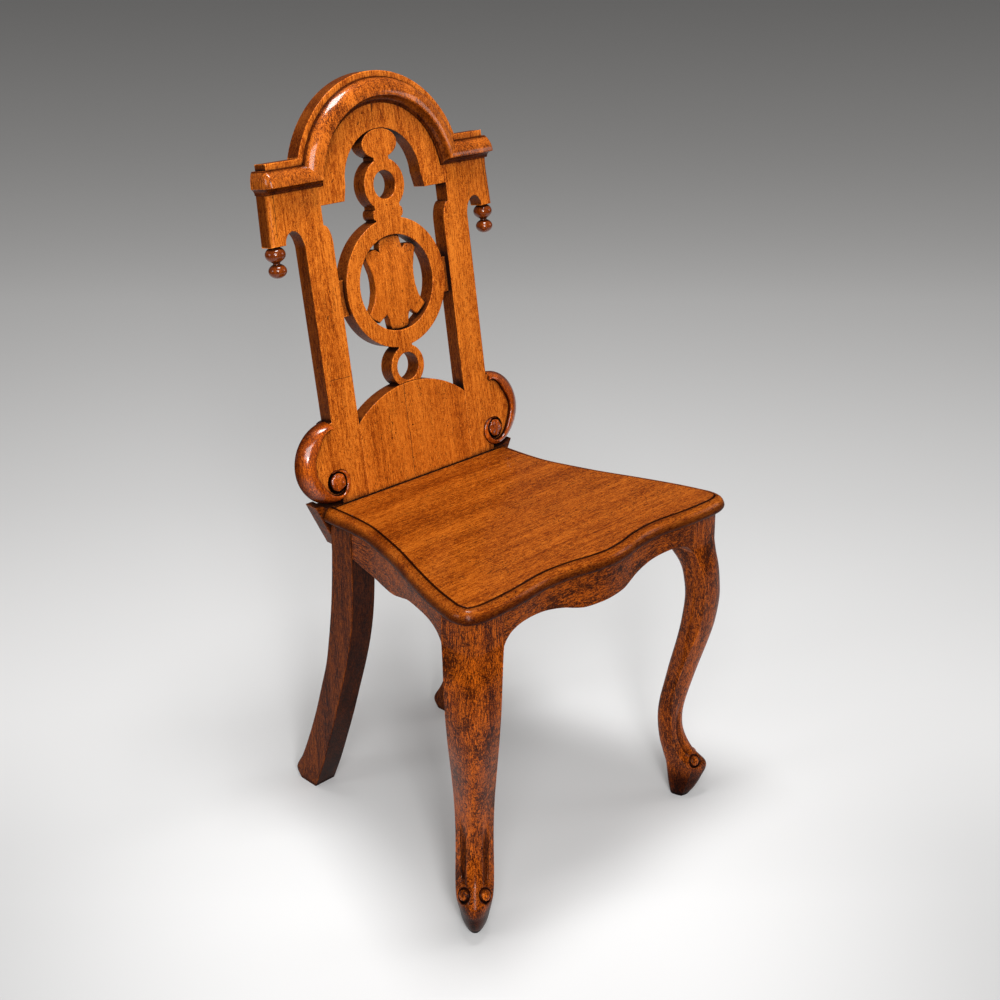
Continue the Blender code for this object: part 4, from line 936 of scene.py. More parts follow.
class HALLCHAIR_OT_seat(bpy.types.Operator):
    """Build the seat board with its scratched line and thumbnail nosing"""

    bl_idname = "hallchair.seat"
    bl_label = "Seat"

    def execute(self, context):
        worked = sizes()
        deep, wide = worked.groove_depth, worked.groove_width
        line = 0.0132
        thick = SEAT_HEIGHT - UNDER_SEAT
        # Each level: inset from the edge, drop, and painted shade, darkest in the groove and under the
        # nosing, lightest on its upper arris.
        levels = [(line + wide * 0.80, 0.0, 0.0), (line + wide * 0.50, 0.0001, 0.1),
                  (line + wide * 0.36, deep * 0.42, 1.0), (line + wide * 0.18, deep * 0.90, 1.0),
                  (line, deep * 1.05, 1.0), (line - wide * 0.20, deep * 0.90, 1.0),
                  (line - wide * 0.42, deep * 0.50, 0.7), (0.0112, 0.0009, 0.42),
                  (0.0092, 0.0012, 0.36), (0.0070, 0.0020, 0.24), (0.0048, 0.0036, 0.10),
                  (0.0030, 0.0056, 0.26), (0.0016, 0.0080, 0.50), (0.0006, 0.0104, 0.62),
                  (0.0000, 0.0128, 0.68), (0.0003, 0.0148, 0.80), (0.0014, 0.0166, 0.95),
                  (0.0034, 0.0177, 1.0), (0.0062, thick, 1.0)]
        tail = Y_RAIL - FIT
        edge = seat_edge(0.0, 18)
        rings = []
        for inset, down, dark in levels:
            half = uncrossed(seat_edge(inset), edge, inset)
            half = [(half[0][0], tail)] + half[1:]
            rings.append([(x, y, SEAT_HEIGHT - down, dark) for x, y in half + mirrored(half[:-1])])
        bm = with_shade_layer()
        layers = skin(bm, rings, close_ends=False)
        for layer in (layers[0], layers[-1]):
            fill(bm, rim(bm, layer))
        # A painted shadow line along the seat's back edge, where the back stands on it.
        scratches = [((-Y_BACK, -0.150), (-Y_BACK, 0.150), 0.0022, 1.0)]
        material = oak("waxed_seat", tones_of("seat"), ACROSS, (0.13, 0.4, 0.0), band=34.0, pores=1.0,
                       flecks=0.40, mottle=0.30, streaks=0.75, reach=0.006, wax=0.22,
                       scratches=scratches)
        place("seat", bm, material, "oak_seat", ["seat_board"], sharp=50)
        return {"FINISHED"}


# Seat frame and legs

def soft_section(points, softness, steps=3):
    """A four-cornered section with its corners rounded."""
    ring = []
    for last, here, ahead in zip(points[-1:] + points, points, points[1:] + points[:1]):
        last, here, ahead = Vector(last), Vector(here), Vector(ahead)
        start = here + (last - here).normalized() * softness
        end = here + (ahead - here).normalized() * softness
        for step in range(steps + 1):
            u = step / steps
            ring.append(tuple(start * (1 - u) ** 2 + here * 2 * u * (1 - u) + end * u ** 2))
    return ring


class HALLCHAIR_OT_aprons(bpy.types.Operator):
    """Build the three shaped aprons under the seat"""

    bl_idname = "hallchair.aprons"
    bl_label = "Aprons"

    def execute(self, context):
        self.front()
        self.sides()
        return {"FINISHED"}

    def front(self):
        """The front apron follows the seat's serpentine front."""
        half_run = APRON_LENGTH / 2 - FIT
        inner = apron_face(0, APRON_LENGTH / 2) + FRONT_APRON
        curve = smooth_through(FRONT_SCROLL, 6)
        stations = [(-share, drop) for share, drop in reversed(curve)] + curve[1:]
        top = UNDER_SEAT - FIT
        rings = []
        for share, drop in stations:
            x = share * half_run
            outer = apron_face(0, abs(x))
            foot = UNDER_SEAT - APRON_DROP * drop
            section = [(x, outer, top), (x, inner, top), (x, inner, foot), (x, outer, foot)]
            rings.append(soft_section(section, sizes().softness * 1.2))
        bm = bmesh.new()
        skin(bm, rings)
        material = oak("waxed_front_apron", tones_of("frame"), ACROSS, (0.3, 0.1, 0.2), pores=0.6,
                       flecks=0.30, mottle=0.85, gloss=0.34, wax=0.04)
        place("front_apron", bm, material, "oak_frame", ["front_apron"])

    def sides(self):
        """Each side apron has an ogee in its lower edge."""
        rear = Y_RAIL - FIT - REAR_LEG_DEPTH
        front = apron_face(0, APRON_LENGTH / 2) + BLOCK
        top = UNDER_SEAT - FIT
        low, high = apron_face(1, rear), apron_face(1, front)
        rear -= FIT
        front += FIT
        rings = []
        for share, drop in smooth_through(SIDE_SCROLL, 5):
            y = rear + (front - rear) * share
            outer = apron_face(1, y) - 0.0012 * (1 - ease(0.0, 0.10, share))
            inner = low + (high - low) * share - SIDE_APRON
            foot = UNDER_SEAT - APRON_DROP * drop
            section = [(outer, y, top), (inner, y, top), (inner, y, foot), (outer, y, foot)]
            rings.append(soft_section(section, sizes().softness * 1.2))
        bm = bmesh.new()
        skin(bm, rings)
        material = oak("waxed_side_apron", tones_of("frame"), FORE_AND_AFT, (0.2, 0.5, 0.1), band=48.0,
                       pores=0.6, flecks=0.10, mottle=0.40)
        place_pair("side_apron", bm, material, "oak_frame", ["side_apron"])


def block_middle():
    """Plan position of the right front leg's square block."""
    return Vector((APRON_LENGTH / 2 + BLOCK / 2, apron_face(0, APRON_LENGTH / 2) + BLOCK / 2, 0))


def on_diagonal(out, across, height):
    """A point given along the right front leg's outward diagonal and across it."""
    outward = Vector((1, -1, 0)).normalized()
    sideways = Vector((1, 1, 0)).normalized()
    return block_middle() + outward * out + sideways * across + Vector((0, 0, height))


def boss_frame(side):
    """Middle and facing of one of the right leg's two toe bosses."""
    height, out, across = TOE_BOSS
    middle = on_diagonal(out * BLOCK, side * across * BLOCK, height * LEG_HEIGHT)
    outward, sideways, upward = TOE_BOSS_FACING
    facing = on_diagonal(outward, side * sideways, upward) - block_middle()
    return middle, facing.normalized()


class HALLCHAIR_OT_front_legs(bpy.types.Operator):
    """Build the cabriole legs with their ankle channels, scroll toes and bosses"""

    bl_idname = "hallchair.front_legs"
    bl_label = "Front Legs"

    def execute(self, context):
        bm = with_shade_layer()
        rows = [row for index, row in enumerate(smooth_through(CABRIOLE[1:], 18))
                if row[0] < 0.19 or index % 3 == 0]
        skin(bm, [self.ring(row) for row in [CABRIOLE[0]] + rows])
        self.sink_round_bosses(bm)
        bmesh.ops.recalc_face_normals(bm, faces=bm.faces)
        for side in (-1, 1):
            join_in(bm, self.boss(side))
        for side, shape, hand in both_sides(bm):
            # Painted shade on each leg's sides away from its outward diagonal, stronger on the left leg.
            material = oak(f"waxed_front_leg_{side}", tones_of("frame", 1.2), UPRIGHT,
                           (0.1, 0.3 * hand, 0.7), band=55.0, pores=1.0, flecks=0.35, mottle=0.85,
                           gloss=0.30, wax=0.13, wax_rough=0.10, sawn=0.68 - 0.1 * hand,
                           face=(DIAGONAL * hand, -DIAGONAL, 0.0))
            place(f"front_leg_{side}", shape, material, "oak_frame", [f"front_leg_{side}"], weigh=False,
                  sharp=36)
        return {"FINISHED"}

    def ring(self, row):
        """One section: two curved halves that meet in side arrises, channelled at the ankle."""
        height, inner, side, outer, half_width, inner_square, outer_square = row
        count = sizes().sides
        fade = ease(0.152, 0.172, height) * (1 - ease(0.26, 0.37, height))
        ring = []
        for step in range(count):
            angle = math.tau * step / count
            across = math.cos(angle)
            front = math.sin(angle) >= 0
            reach, square = (outer - side, outer_square) if front else (inner - side, inner_square)
            out = (side + reach * (1 - abs(across) ** square)) * BLOCK
            sideways = across * half_width * BLOCK
            off = (abs(sideways) - CHANNEL_MIDDLE) / CHANNEL_HALF_WIDTH
            # Painted shade: darker towards the foot, and in the ankle channels.
            dark = 0.75 * ease(0.135, 0.06, height)
            if front and fade > 0 and abs(off) < 1:
                out -= sizes().channel_depth * fade * (1 - off * off) ** 0.6
                dark = 0.62 * fade * (1 - off * off)
            ring.append((*on_diagonal(out, sideways, height * LEG_HEIGHT), dark))
        return ring

    def sink_round_bosses(self, bm):
        """A ring cut round each boss, deepest on its lower side, with painted shade in it that is also
        darkest below.
        """
        stain = bm.verts.layers.float["stain"]
        for side in (-1, 1):
            middle, facing = boss_frame(side)
            for vert in bm.verts:
                away = vert.co - middle
                along = away.dot(facing)
                if abs(along) > 0.010:
                    continue
                flat = away - facing * along
                off = (flat.length - TOE_BOSS_RADIUS - 0.0014) / 0.0017
                if abs(off) < 2.5:
                    below = 0.70 + 0.30 * ease(-0.004, 0.004, -flat.z)
                    vert.co -= facing * 0.0030 * below * math.exp(-off * off)
                    vert[stain] = max(vert[stain], min(1.0, 1.5 * below * math.exp(-off * off)))

    def boss(self, side):
        """A low button turned from the solid."""
        middle, facing = boss_frame(side)
        radius = TOE_BOSS_RADIUS
        profile = [(0, 0.0015), (radius * 0.55, 0.0014), (radius * 0.82, 0.0009),
                   (radius * 0.95, 0.0001), (radius, -0.0012), (radius, -0.007), (0, -0.007)]
        turn = facing.to_track_quat("Z", "Y").to_matrix().to_4x4()
        return lathe(profile, 32, Matrix.Translation(middle) @ turn)


class HALLCHAIR_OT_rear_legs(bpy.types.Operator):
    """Build the swept rear legs"""

    bl_idname = "hallchair.rear_legs"
    bl_label = "Rear Legs"

    def execute(self, context):
        rear = Y_RAIL - FIT
        outer = apron_face(1, rear - REAR_LEG_DEPTH)
        inner = outer - REAR_LEG_WIDTH
        front = rear - REAR_LEG_DEPTH
        sweep = CAD_BOUNDS[1][1] - rear
        rings = []
        for share, fore_sweep, aft_sweep in [SABRE[0]] + smooth_through(SABRE[1:], 6):
            lean = REAR_LEG_LEAN * max(0, 1 - share / 0.90)
            near, far = outer - lean, inner - lean + REAR_LEG_TAPER * lean / REAR_LEG_LEAN
            fore, aft, z = front + sweep * fore_sweep, rear + sweep * aft_sweep, LEG_HEIGHT * share
            section = [(near, fore, z), (near, aft, z), (far, aft, z), (far, fore, z)]
            rings.append(soft_section(section, sizes().softness * 1.3))
        bm = bmesh.new()
        skin(bm, rings)
        for side, shape, hand in both_sides(bm):
            # Painted shade on the front and back faces, turned away from the outer side.
            material = oak(f"waxed_rear_leg_{side}", tones_of("frame", 0.48), UPRIGHT, (0.5, 0.9, 0.2),
                           pores=0.5, flecks=0.05, streaks=0.7, wear=1.3, face=(hand, 0.0, 0.0),
                           sawn=0.8)
            place(f"rear_leg_{side}", shape, material, "oak_frame", [f"rear_leg_{side}"])
        return {"FINISHED"}


class HALLCHAIR_OT_rear_rail(bpy.types.Operator):
    """Build the wedge-ended rail behind the rear legs, with its screw holes"""

    bl_idname = "hallchair.rear_rail"
    bl_label = "Rear Rail"

    def execute(self, context):
        low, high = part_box("rear_rail")
        half, foot_half = high.x, 0.143
        hole_radius, hole_depth = 0.0044, 0.0050
        right = [(foot_half, low.z), (half, high.z), (half - 0.011, high.z),
                 (half - 0.0155, SEAT_HEIGHT)]
        bm = bmesh.new()
        board(bm, [right + mirrored(right)], 0, high.y - low.y, sizes().softness * 1.4)
        holes = bmesh.new()
        for node in sorted(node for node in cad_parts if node.startswith("rail_screw")):
            near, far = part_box(node)
            over = Matrix.Translation(((near.x + far.x) / 2, (near.z + far.z) / 2, 0))
            bmesh.ops.create_cone(holes, cap_ends=True, segments=32, radius1=hole_radius,
                                  radius2=hole_radius, depth=hole_depth, matrix=over)
        cut_away(bm, holes)
        stand = Matrix.Translation((0, high.y, 0)) @ Matrix.Rotation(math.pi / 2, 4, "X")
        material = oak("waxed_rear_rail", tones_of("frame", 0.55), ACROSS, (0.7, 0.2, 0.5), band=50.0,
                       pores=0.5, mottle=0.4, streaks=0.7, gloss=0.38)
        place("rear_rail", bm, material, "oak_frame", ["rear_rail"], stand)
        return {"FINISHED"}


class HALLCHAIR_OT_joinery(bpy.types.Operator):
    """Dress the glue blocks and dowels"""

    bl_idname = "hallchair.joinery"
    bl_label = "Glue Blocks and Dowels"

    def execute(self, context):
        raw = ((0.36, 0.19, 0.085, 1.0), (0.27, 0.13, 0.05, 1.0), (0.12, 0.05, 0.02, 1.0))
        material = oak("unwaxed_joinery", raw, UPRIGHT, (0.9, 0.4, 0.3), pores=0.6, flecks=0.1,
                       mottle=0.3, streaks=0.6, wear=0.4, gloss=0.55)
        for end in ("front", "rear"):
            for hand in ("left", "right"):
                node = f"{end}_glue_block_{hand}"
                place(f"{end}_corner_block_{hand}", soften_node(node, 0.0007), material,
                      "oak_joinery", [node])
        for node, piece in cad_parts.items():
            if "dowel" in node:
                piece.data.materials.clear()
                piece.data.materials.append(material)
        return {"FINISHED"}


class HALLCHAIR_OT_screws(bpy.types.Operator):
    """Set slotted screws under the seat and in the rear rail with one Geometry Nodes tree"""

    bl_idname = "hallchair.screws"
    bl_label = "Screws"

    def execute(self, context):
        nodes = sorted(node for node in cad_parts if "screw" in node)
        shape = self.screw_shape()
        base = bpy.data.meshes.new("screw_places")
        turns = []
        places = []
        for node in nodes:
            low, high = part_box(node)
            middle = (low + high) / 2
            if node.startswith("rail"):
                places.append((middle.x, high.y, middle.z))
                turns.append((math.pi / 2, 0.4 * len(places), 0.0))
            else:
                places.append((middle.x, middle.y, low.z))
                turns.append((0.0, 0.0, 0.7 * len(places)))
        base.from_pydata(places, [], [])
        facing = base.attributes.new("facing", "FLOAT_VECTOR", "POINT")
        facing.data.foreach_set("vector", [value for turn in turns for value in turn])
        holder = object_of("screws", base)
        holder.modifiers.new("set", "NODES").node_group = self.tree(shape)
        bake_modifiers(holder)
        bpy.data.objects.remove(shape, do_unlink=True)
        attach(holder, "root")
        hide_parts(*nodes)
        return {"FINISHED"}

    def screw_shape(self):
        """One countersunk screw, head down, with a slot across its head."""
        length = 0.036
        profile = [(0, 0.0007), (0.0036, 0.0007), (0.0040, 0.0010), (0.0041, 0.0014), (0.0021, 0.0028),
                   (0.0021, length - 0.004), (0.0008, length - 0.001), (0, length - 0.001)]
        bm = lathe(profile, 24, Matrix.Identity(4))
        slot = bmesh.new()
        bmesh.ops.create_cube(slot, size=1.0, matrix=Matrix.Diagonal((0.0012, 0.02, 0.0034, 1.0)))
        cut_away(bm, slot)
        return object_of("screw_shape", mesh_of("screw_shape", bm))

    def tree(self, shape):
        """Put the screw at every point, turned as the point says, and give it its steel."""
        tree, given, out = start_group("set_screws", (
            ("Geometry", GEOMETRY, None), ("Screw Size", NUMBER, 1.0),
        ), (("Geometry", GEOMETRY),), "GeometryNodeTree")
        size = given["Screw Size"]
        turn = wire(tree, "GeometryNodeInputNamedAttribute", {"Name": "facing"}, "Attribute",
                    data_type="FLOAT_VECTOR")
        placed = wire(tree, "GeometryNodeInstanceOnPoints", {
            "Points": given["Geometry"],
            "Instance": wire(tree, "GeometryNodeObjectInfo", {"Object": shape}, "Geometry"),
            "Rotation": wire(tree, "FunctionNodeEulerToRotation", {"Euler": turn}, "Rotation"),
            "Scale": wire(tree, "ShaderNodeCombineXYZ", {"X": size, "Y": size, "Z": size}),
        }, "Instances")
        end_geometry(tree, out, placed, screw_steel())
        return tree


# Back

def side_outline():
    """The right stile with its neck, ear and the ground of its volute, cut from one board."""
    neck_curve = arc((NECK_INNER, 0.320), (STILE_NECK, 0.025), 180, 100, 14)
    notch = STILE_OUTER + 0.0152
    foot = EAR_OUTER + EAR_FLARE - 0.021
    cap = SHOULDER_RISE - 0.0075
    far = arc((notch, EAR_FOOT), (foot - notch, 0.015), 0, 90, 16)
    near = arc((notch, 0.319), (notch - STILE_OUTER, 0.026), 97, 172, 18)
    ground = arc(VOLUTE, (0.0415, 0.048), -97, 84, 60)
    return ([(STILE_INNER, BOARD_FOOT), (STILE_OUTER, BOARD_FOOT)] + ground + [(STILE_OUTER, 0.1065)]
            + list(reversed(near)) + list(reversed(far))
            + [(EAR_OUTER + EAR_FLARE, EAR_FOOT), (EAR_OUTER, MOULDING_FOOT), (EAR_OUTER, cap),
               (STILE_OUTER + 0.041, cap), (STILE_OUTER + 0.041, SHOULDER_RISE),
               (SHOULDER_INNER, SHOULDER_RISE), (NECK_INNER, SHOULDER_RISE),
               (NECK_INNER, ARCH_FOOT), (NECK_INNER, 0.345)]
            + list(reversed(neck_curve)))


def side_wear(s, t):
    """How round each edge of the side board is worn, for its usual softness."""
    if s > EAR_OUTER + 0.00005 and EAR_FOOT + 0.0005 < t < MOULDING_FOOT:
        return EAR_COLUMN / sizes().softness
    if s < NECK_INNER + 0.0001 and t > ARCH_FOOT:
        return 0.0
    if t > SHOULDER_RISE - 0.0001 and s < SHOULDER_INNER:
        return 0.0
    if t < FOOT_BAND or (s < STILE_INNER + 0.0001 and t < PANEL_SHOULDER):
        return 0.25
    return 1.0


def panel_top(s):
    """Height of the panel's arched top at a sideways place."""
    rise = PANEL_RISE - PANEL_SHOULDER
    radius = (STILE_INNER ** 2 + rise ** 2) / (2 * rise)
    return PANEL_RISE - radius + math.sqrt(radius ** 2 - s ** 2)


def level_foot(bm):
    """Lower the back edge of a board's foot to the level of the seat and the rail."""
    for vert in bm.verts:
        lift = vert.co.y
        if lift < FOOT_BAND:
            vert.co.y = lift - vert.co.z * math.tan(RAKE) * (1 - lift / FOOT_BAND)


class HALLCHAIR_OT_stiles(bpy.types.Operator):
    """Build the two side boards: stile, ear and the ground of the volute"""

    bl_idname = "hallchair.stiles"
    bl_label = "Stiles and Ears"

    def execute(self, context):
        bm = bmesh.new()
        eye_bore = arc(EYE, (0.0149, 0.0149), 0, 360, 64)[:-1]
        board(bm, [side_outline(), eye_bore], -BOARD, 0, sizes().softness, steps=6, spacing=0.012,
              wear=side_wear)
        level_foot(bm)
        for (side, shape, hand), offset in zip(both_sides(bm), ((0.31, 0.2, 0), (0.83, 0.7, 0))):
            scratches = [
                ((hand * (EAR_OUTER - 0.0093), MOULDING_FOOT),
                 (hand * (EAR_OUTER - 0.0066), EAR_FOOT + 0.012), 0.0007, 0.85),
                ((hand * STILE_INNER, 0.0), (hand * STILE_INNER, PANEL_SHOULDER), 0.0006, 0.5),
                # A painted shadow line along the foot, where the board meets the seat.
                ((hand * 0.090, 0.0), (hand * 0.136, 0.0), 0.0022, 1.0),
            ]
            if hand < 0:
                scratches += [((-0.1285, 0.158), (-0.0965, 0.1565), 0.0006, 0.8),
                              ((-0.1170, 0.236), (-0.1175, 0.233), 0.0016, 0.8)]
            else:
                scratches += [((0.1400, 0.3465), (0.1440, 0.3640), 0.0007, 0.7)]
            material = back_oak(f"waxed_side_board_{side}", offset, band=58.0, pores=0.8, mottle=0.20,
                                streaks=0.85, reach=0.016, dirt=1.2, scratches=scratches)
            place(f"side_board_{side}", shape, material, "oak_back",
                  [f"stile_{side}", f"ear_block_{side}"], BACK_FRAME)
        return {"FINISHED"}


class HALLCHAIR_OT_lower_panel(bpy.types.Operator):
    """Build the two boards under the splat"""

    bl_idname = "hallchair.lower_panel"
    bl_label = "Lower Panel"

    def execute(self, context):
        spans = (("left", -STILE_INNER, PANEL_JOINT, (0.17, 0.9, 0)),
                 ("right", PANEL_JOINT, STILE_INNER, (0.61, 0.4, 0)))
        for side, start, end, offset in spans:
            across = [end + (start - end) * i / 40 for i in range(41)]
            top = [(s, panel_top(s)) for s in across]
            bm = bmesh.new()
            board(bm, [[(start, BOARD_FOOT), (end, BOARD_FOOT)] + top], -BOARD, 0, sizes().softness,
                  wear=self.wear)
            level_foot(bm)
            # A dark joint line between the boards, and a painted shadow line along the foot where the board
            # meets the seat.
            scratches = [((PANEL_JOINT, 0.004), (PANEL_JOINT, PANEL_RISE), 0.0008, 0.8),
                         ((start, 0.0), (end, 0.0), 0.0022, 1.0)]
            material = back_oak(f"waxed_panel_{side}", offset, band=40.0, pores=1.0, mottle=0.16,
                                streaks=0.6, scratches=scratches)
            place(f"lower_panel_{side}", bm, material, "oak_back", [f"lower_panel_{side}"], BACK_FRAME)
        return {"FINISHED"}

    def wear(self, s, t):
        """Soft along the arched top, nearly flush where boards meet."""
        return 1.0 if t > panel_top(s) - 0.002 and abs(s) < STILE_INNER - 0.0005 else 0.22


def ring_side(rise, radii, lower_half, upper_half, steps):
    """The right-hand side of a ring or disc, between the necks below and above it."""
    start = -90 + math.degrees(math.asin(lower_half / radii[0]))
    end = 90 - math.degrees(math.asin(upper_half / radii[0]))
    return arc((0, rise), radii, start, end, steps)


class HALLCHAIR_OT_splat(bpy.types.Operator):
    """Build the pierced splat of rings, collar and disc, and its two side lugs"""

    bl_idname = "hallchair.splat"
    bl_label = "Splat"

    def execute(self, context):
        bm = bmesh.new()
        board(bm, self.outlines(), -BOARD, 0, sizes().softness, steps=5, spacing=0.004)
        material = back_oak("waxed_splat", (0.45, 0.1, 0), band=62.0, pores=0.85, mottle=0.20,
                            wear=1.4)
        place("splat", bm, material, "oak_back", ["splat_fretwork"], BACK_FRAME)
        lug = bmesh.new()
        board(lug, [self.lug_outline()], SET_BACK, LUG_FACE, 0.0006, spacing=0.004)
        place_pair("splat_lug", lug, material, "oak_back", ["splat_lug"], BACK_FRAME)
        return {"FINISHED"}

    def foot_half(self):
        """Half the width where the lower ring lands on the panel's arch."""
        rise, radius, _ = LOWER_RING
        half = radius
        while rise - math.sqrt(radius ** 2 - half ** 2) > panel_top(half) + FIT:
            half -= radius / 400
        return half

    def outlines(self):
        """The edge, and the three bores."""
        half = self.foot_half()
        disc_rise = OPENING_RISE + ARCH_OPENING - FIT - 0.018
        above_lower, below_small, below_disc, top = 0.0115, 0.0205, 0.012, 0.0028
        right = ring_side(LOWER_RING[0], (LOWER_RING[1],) * 2, half, above_lower, 30)
        right += ring_side(LARGE_RING[0], (LARGE_RING[1],) * 2, above_lower, below_small, 64)
        right += arc((below_small, 0.344), (0.004, 0.0065), -90, 90, 14)
        right += ring_side(SMALL_RING[0], (SMALL_RING[1],) * 2, below_small, below_disc, 30)
        right += ring_side(disc_rise, (0.028, 0.018), below_disc, top, 34)
        foot = [(s * half / 6, panel_top(s * half / 6) + FIT) for s in range(-5, 6)]
        holes = [arc((0, rise), (bore,) * 2, 0, 360, 72)[:-1] for rise, _, bore in
                 (SMALL_RING, LARGE_RING, LOWER_RING)]
        return [foot + right + mirrored(right)] + holes

    def lug_outline(self):
        """The set-back block between the large ring and the right stile."""
        below, above = 0.0277, 0.0173
        rise, radius, _ = LARGE_RING
        start = math.degrees(math.asin(-below / radius))
        end = math.degrees(math.asin(above / radius))
        ring = arc((0, rise), (radius + FIT,) * 2, end, start, 14)
        edge = STILE_INNER - FIT
        return [(edge, ring[-1][1]), (edge, ring[0][1])] + ring


class HALLCHAIR_OT_cartouche(bpy.types.Operator):
    """Build the shield in the large ring"""

    bl_idname = "hallchair.cartouche"
    bl_label = "Cartouche"

    def execute(self, context):
        rise, _, bore = LARGE_RING
        shield = [(s * 0.048, rise + t * bore) for s, t in CARTOUCHE]
        reach, top_half, foot_half = bore - FIT, 0.017, 0.0145
        top = math.degrees(math.acos(top_half / reach))
        foot = -math.degrees(math.acos(foot_half / reach))
        right = arc((0, rise), (reach, reach), 90, top, 6) + shield
        right += arc((0, rise), (reach, reach), foot, -90, 6)
        outline = right + mirrored(right[1:-1])
        bm = bmesh.new()
        board(bm, [outline], SET_BACK, SHIELD_FACE, 0.0016, steps=5, spacing=0.003)
        self.crown(bm, rise)
        light, middle, dark = tones_of("back")
        tones = ([min(1.0, value * 1.12) for value in light], middle, dark)
        # Painted shade on the shield's sides, away from its face.
        material = oak("waxed_cartouche", tones, UP_THE_BACK, (0.77, 0.5, 0), band=50.0, pores=0.8,
                       mottle=0.10, streaks=0.5, face=BACK_FACE, sawn=0.6, reach=0.009, dirt=1.1)
        place("cartouche", bm, material, "oak_back", ["cartouche"], BACK_FRAME)
        return {"FINISHED"}

    def crown(self, bm, rise):
        """Cut the front into small faces and raise it to a low dome."""
        front = [face for face in bm.faces if all(v.co.z > -0.0061 for v in face.verts)]
        edges = list({edge for face in front for edge in face.edges if not edge.is_boundary})
        inner = [edge for edge in edges if all(face in front for face in edge.link_faces)]
        bmesh.ops.subdivide_edges(bm, edges=inner, cuts=5, use_grid_fill=True)
        for vert in bm.verts:
            if vert.co.z > -0.0080:
                away = Vector((vert.co.x / 0.046, (vert.co.y - rise) / 0.064))
                share = max(0.0, 1 - away.length_squared)
                vert.co.z += 0.0036 * share * ease(-0.0080, -0.0060, vert.co.z)


class HALLCHAIR_OT_crest(bpy.types.Operator):
    """Build the arched crest board"""

    bl_idname = "hallchair.crest"
    bl_label = "Crest Arch"

    def execute(self, context):
        start = math.degrees(math.asin((SHOULDER_RISE - ARCH_RISE) / ARCH_RADIUS))
        outer = arc((0, ARCH_RISE), (ARCH_RADIUS,) * 2, start, 180 - start, 96)
        inner = arc((0, OPENING_RISE), (ARCH_OPENING,) * 2, 180, 0, 64)
        outline = ([(NECK_INNER, ARCH_FOOT), (NECK_INNER, SHOULDER_RISE)] + outer
                   + [(-NECK_INNER, SHOULDER_RISE), (-NECK_INNER, ARCH_FOOT), (-0.066, ARCH_FOOT)]
                   + inner + [(0.066, ARCH_FOOT)])
        bm = bmesh.new()
        board(bm, [outline], -BOARD, 0, sizes().softness, wear=self.wear)
        scratches = [((-0.0060, 0.4690), (-0.0040, 0.4790), 0.0016, 0.8),
                     ((-0.0300, 0.4560), (-0.0290, 0.4580), 0.0014, 0.8),
                     ((0.0105, 0.4580), (0.0080, 0.4700), 0.0006, 0.6),
                     ((-0.0820, 0.3930), (-0.0790, 0.3960), 0.0012, 0.6)]
        material = back_oak("waxed_crest", (0.31, 0.2, 0), band=58.0, pores=0.8, mottle=0.20,
                            streaks=0.95, reach=0.018, scratches=scratches)
        place("crest_arch", bm, material, "oak_back", ["crest_arch"], BACK_FRAME)
        return {"FINISHED"}

    def wear(self, s, t):
        """Flush where it meets the side boards."""
        if abs(s) > NECK_INNER - 0.0001 and t < SHOULDER_RISE + 0.0001:
            return 0.0
        return 1.0


# The moulding's section from foot to top: share of its face, how far it stands out in metres, and
# how dark its painted shade is, darkest at its foot and top and in the cove.
MOULDING = (
    (0.0, 0.0, 1.0), (0.0, 0.0010, 1.0), (0.015, 0.0016, 1.0), (0.06, 0.0020, 1.0),
    (0.10, 0.0025, 0.78), (0.13, 0.0033, 0.56), (0.17, 0.0046, 0.50), (0.205, 0.0065, 0.52),
    (0.235, 0.0090, 0.52), (0.255, 0.0117, 0.42), (0.268, 0.0133, 0.05), (0.285, 0.01385, 0.0),
    (0.31, 0.01395, 0.0), (0.37, 0.0138, 0.0), (0.45, 0.0134, 0.0), (0.54, 0.0127, 0.0),
    (0.63, 0.0116, 0.0), (0.72, 0.0101, 0.0), (0.80, 0.0083, 0.0), (0.87, 0.0064, 0.05),
    (0.925, 0.0043, 0.30), (0.965, 0.0025, 0.80), (0.99, 0.0010, 1.0), (1.0, -0.0004, 1.0),
    (1.0, 0.0, 1.0),
)


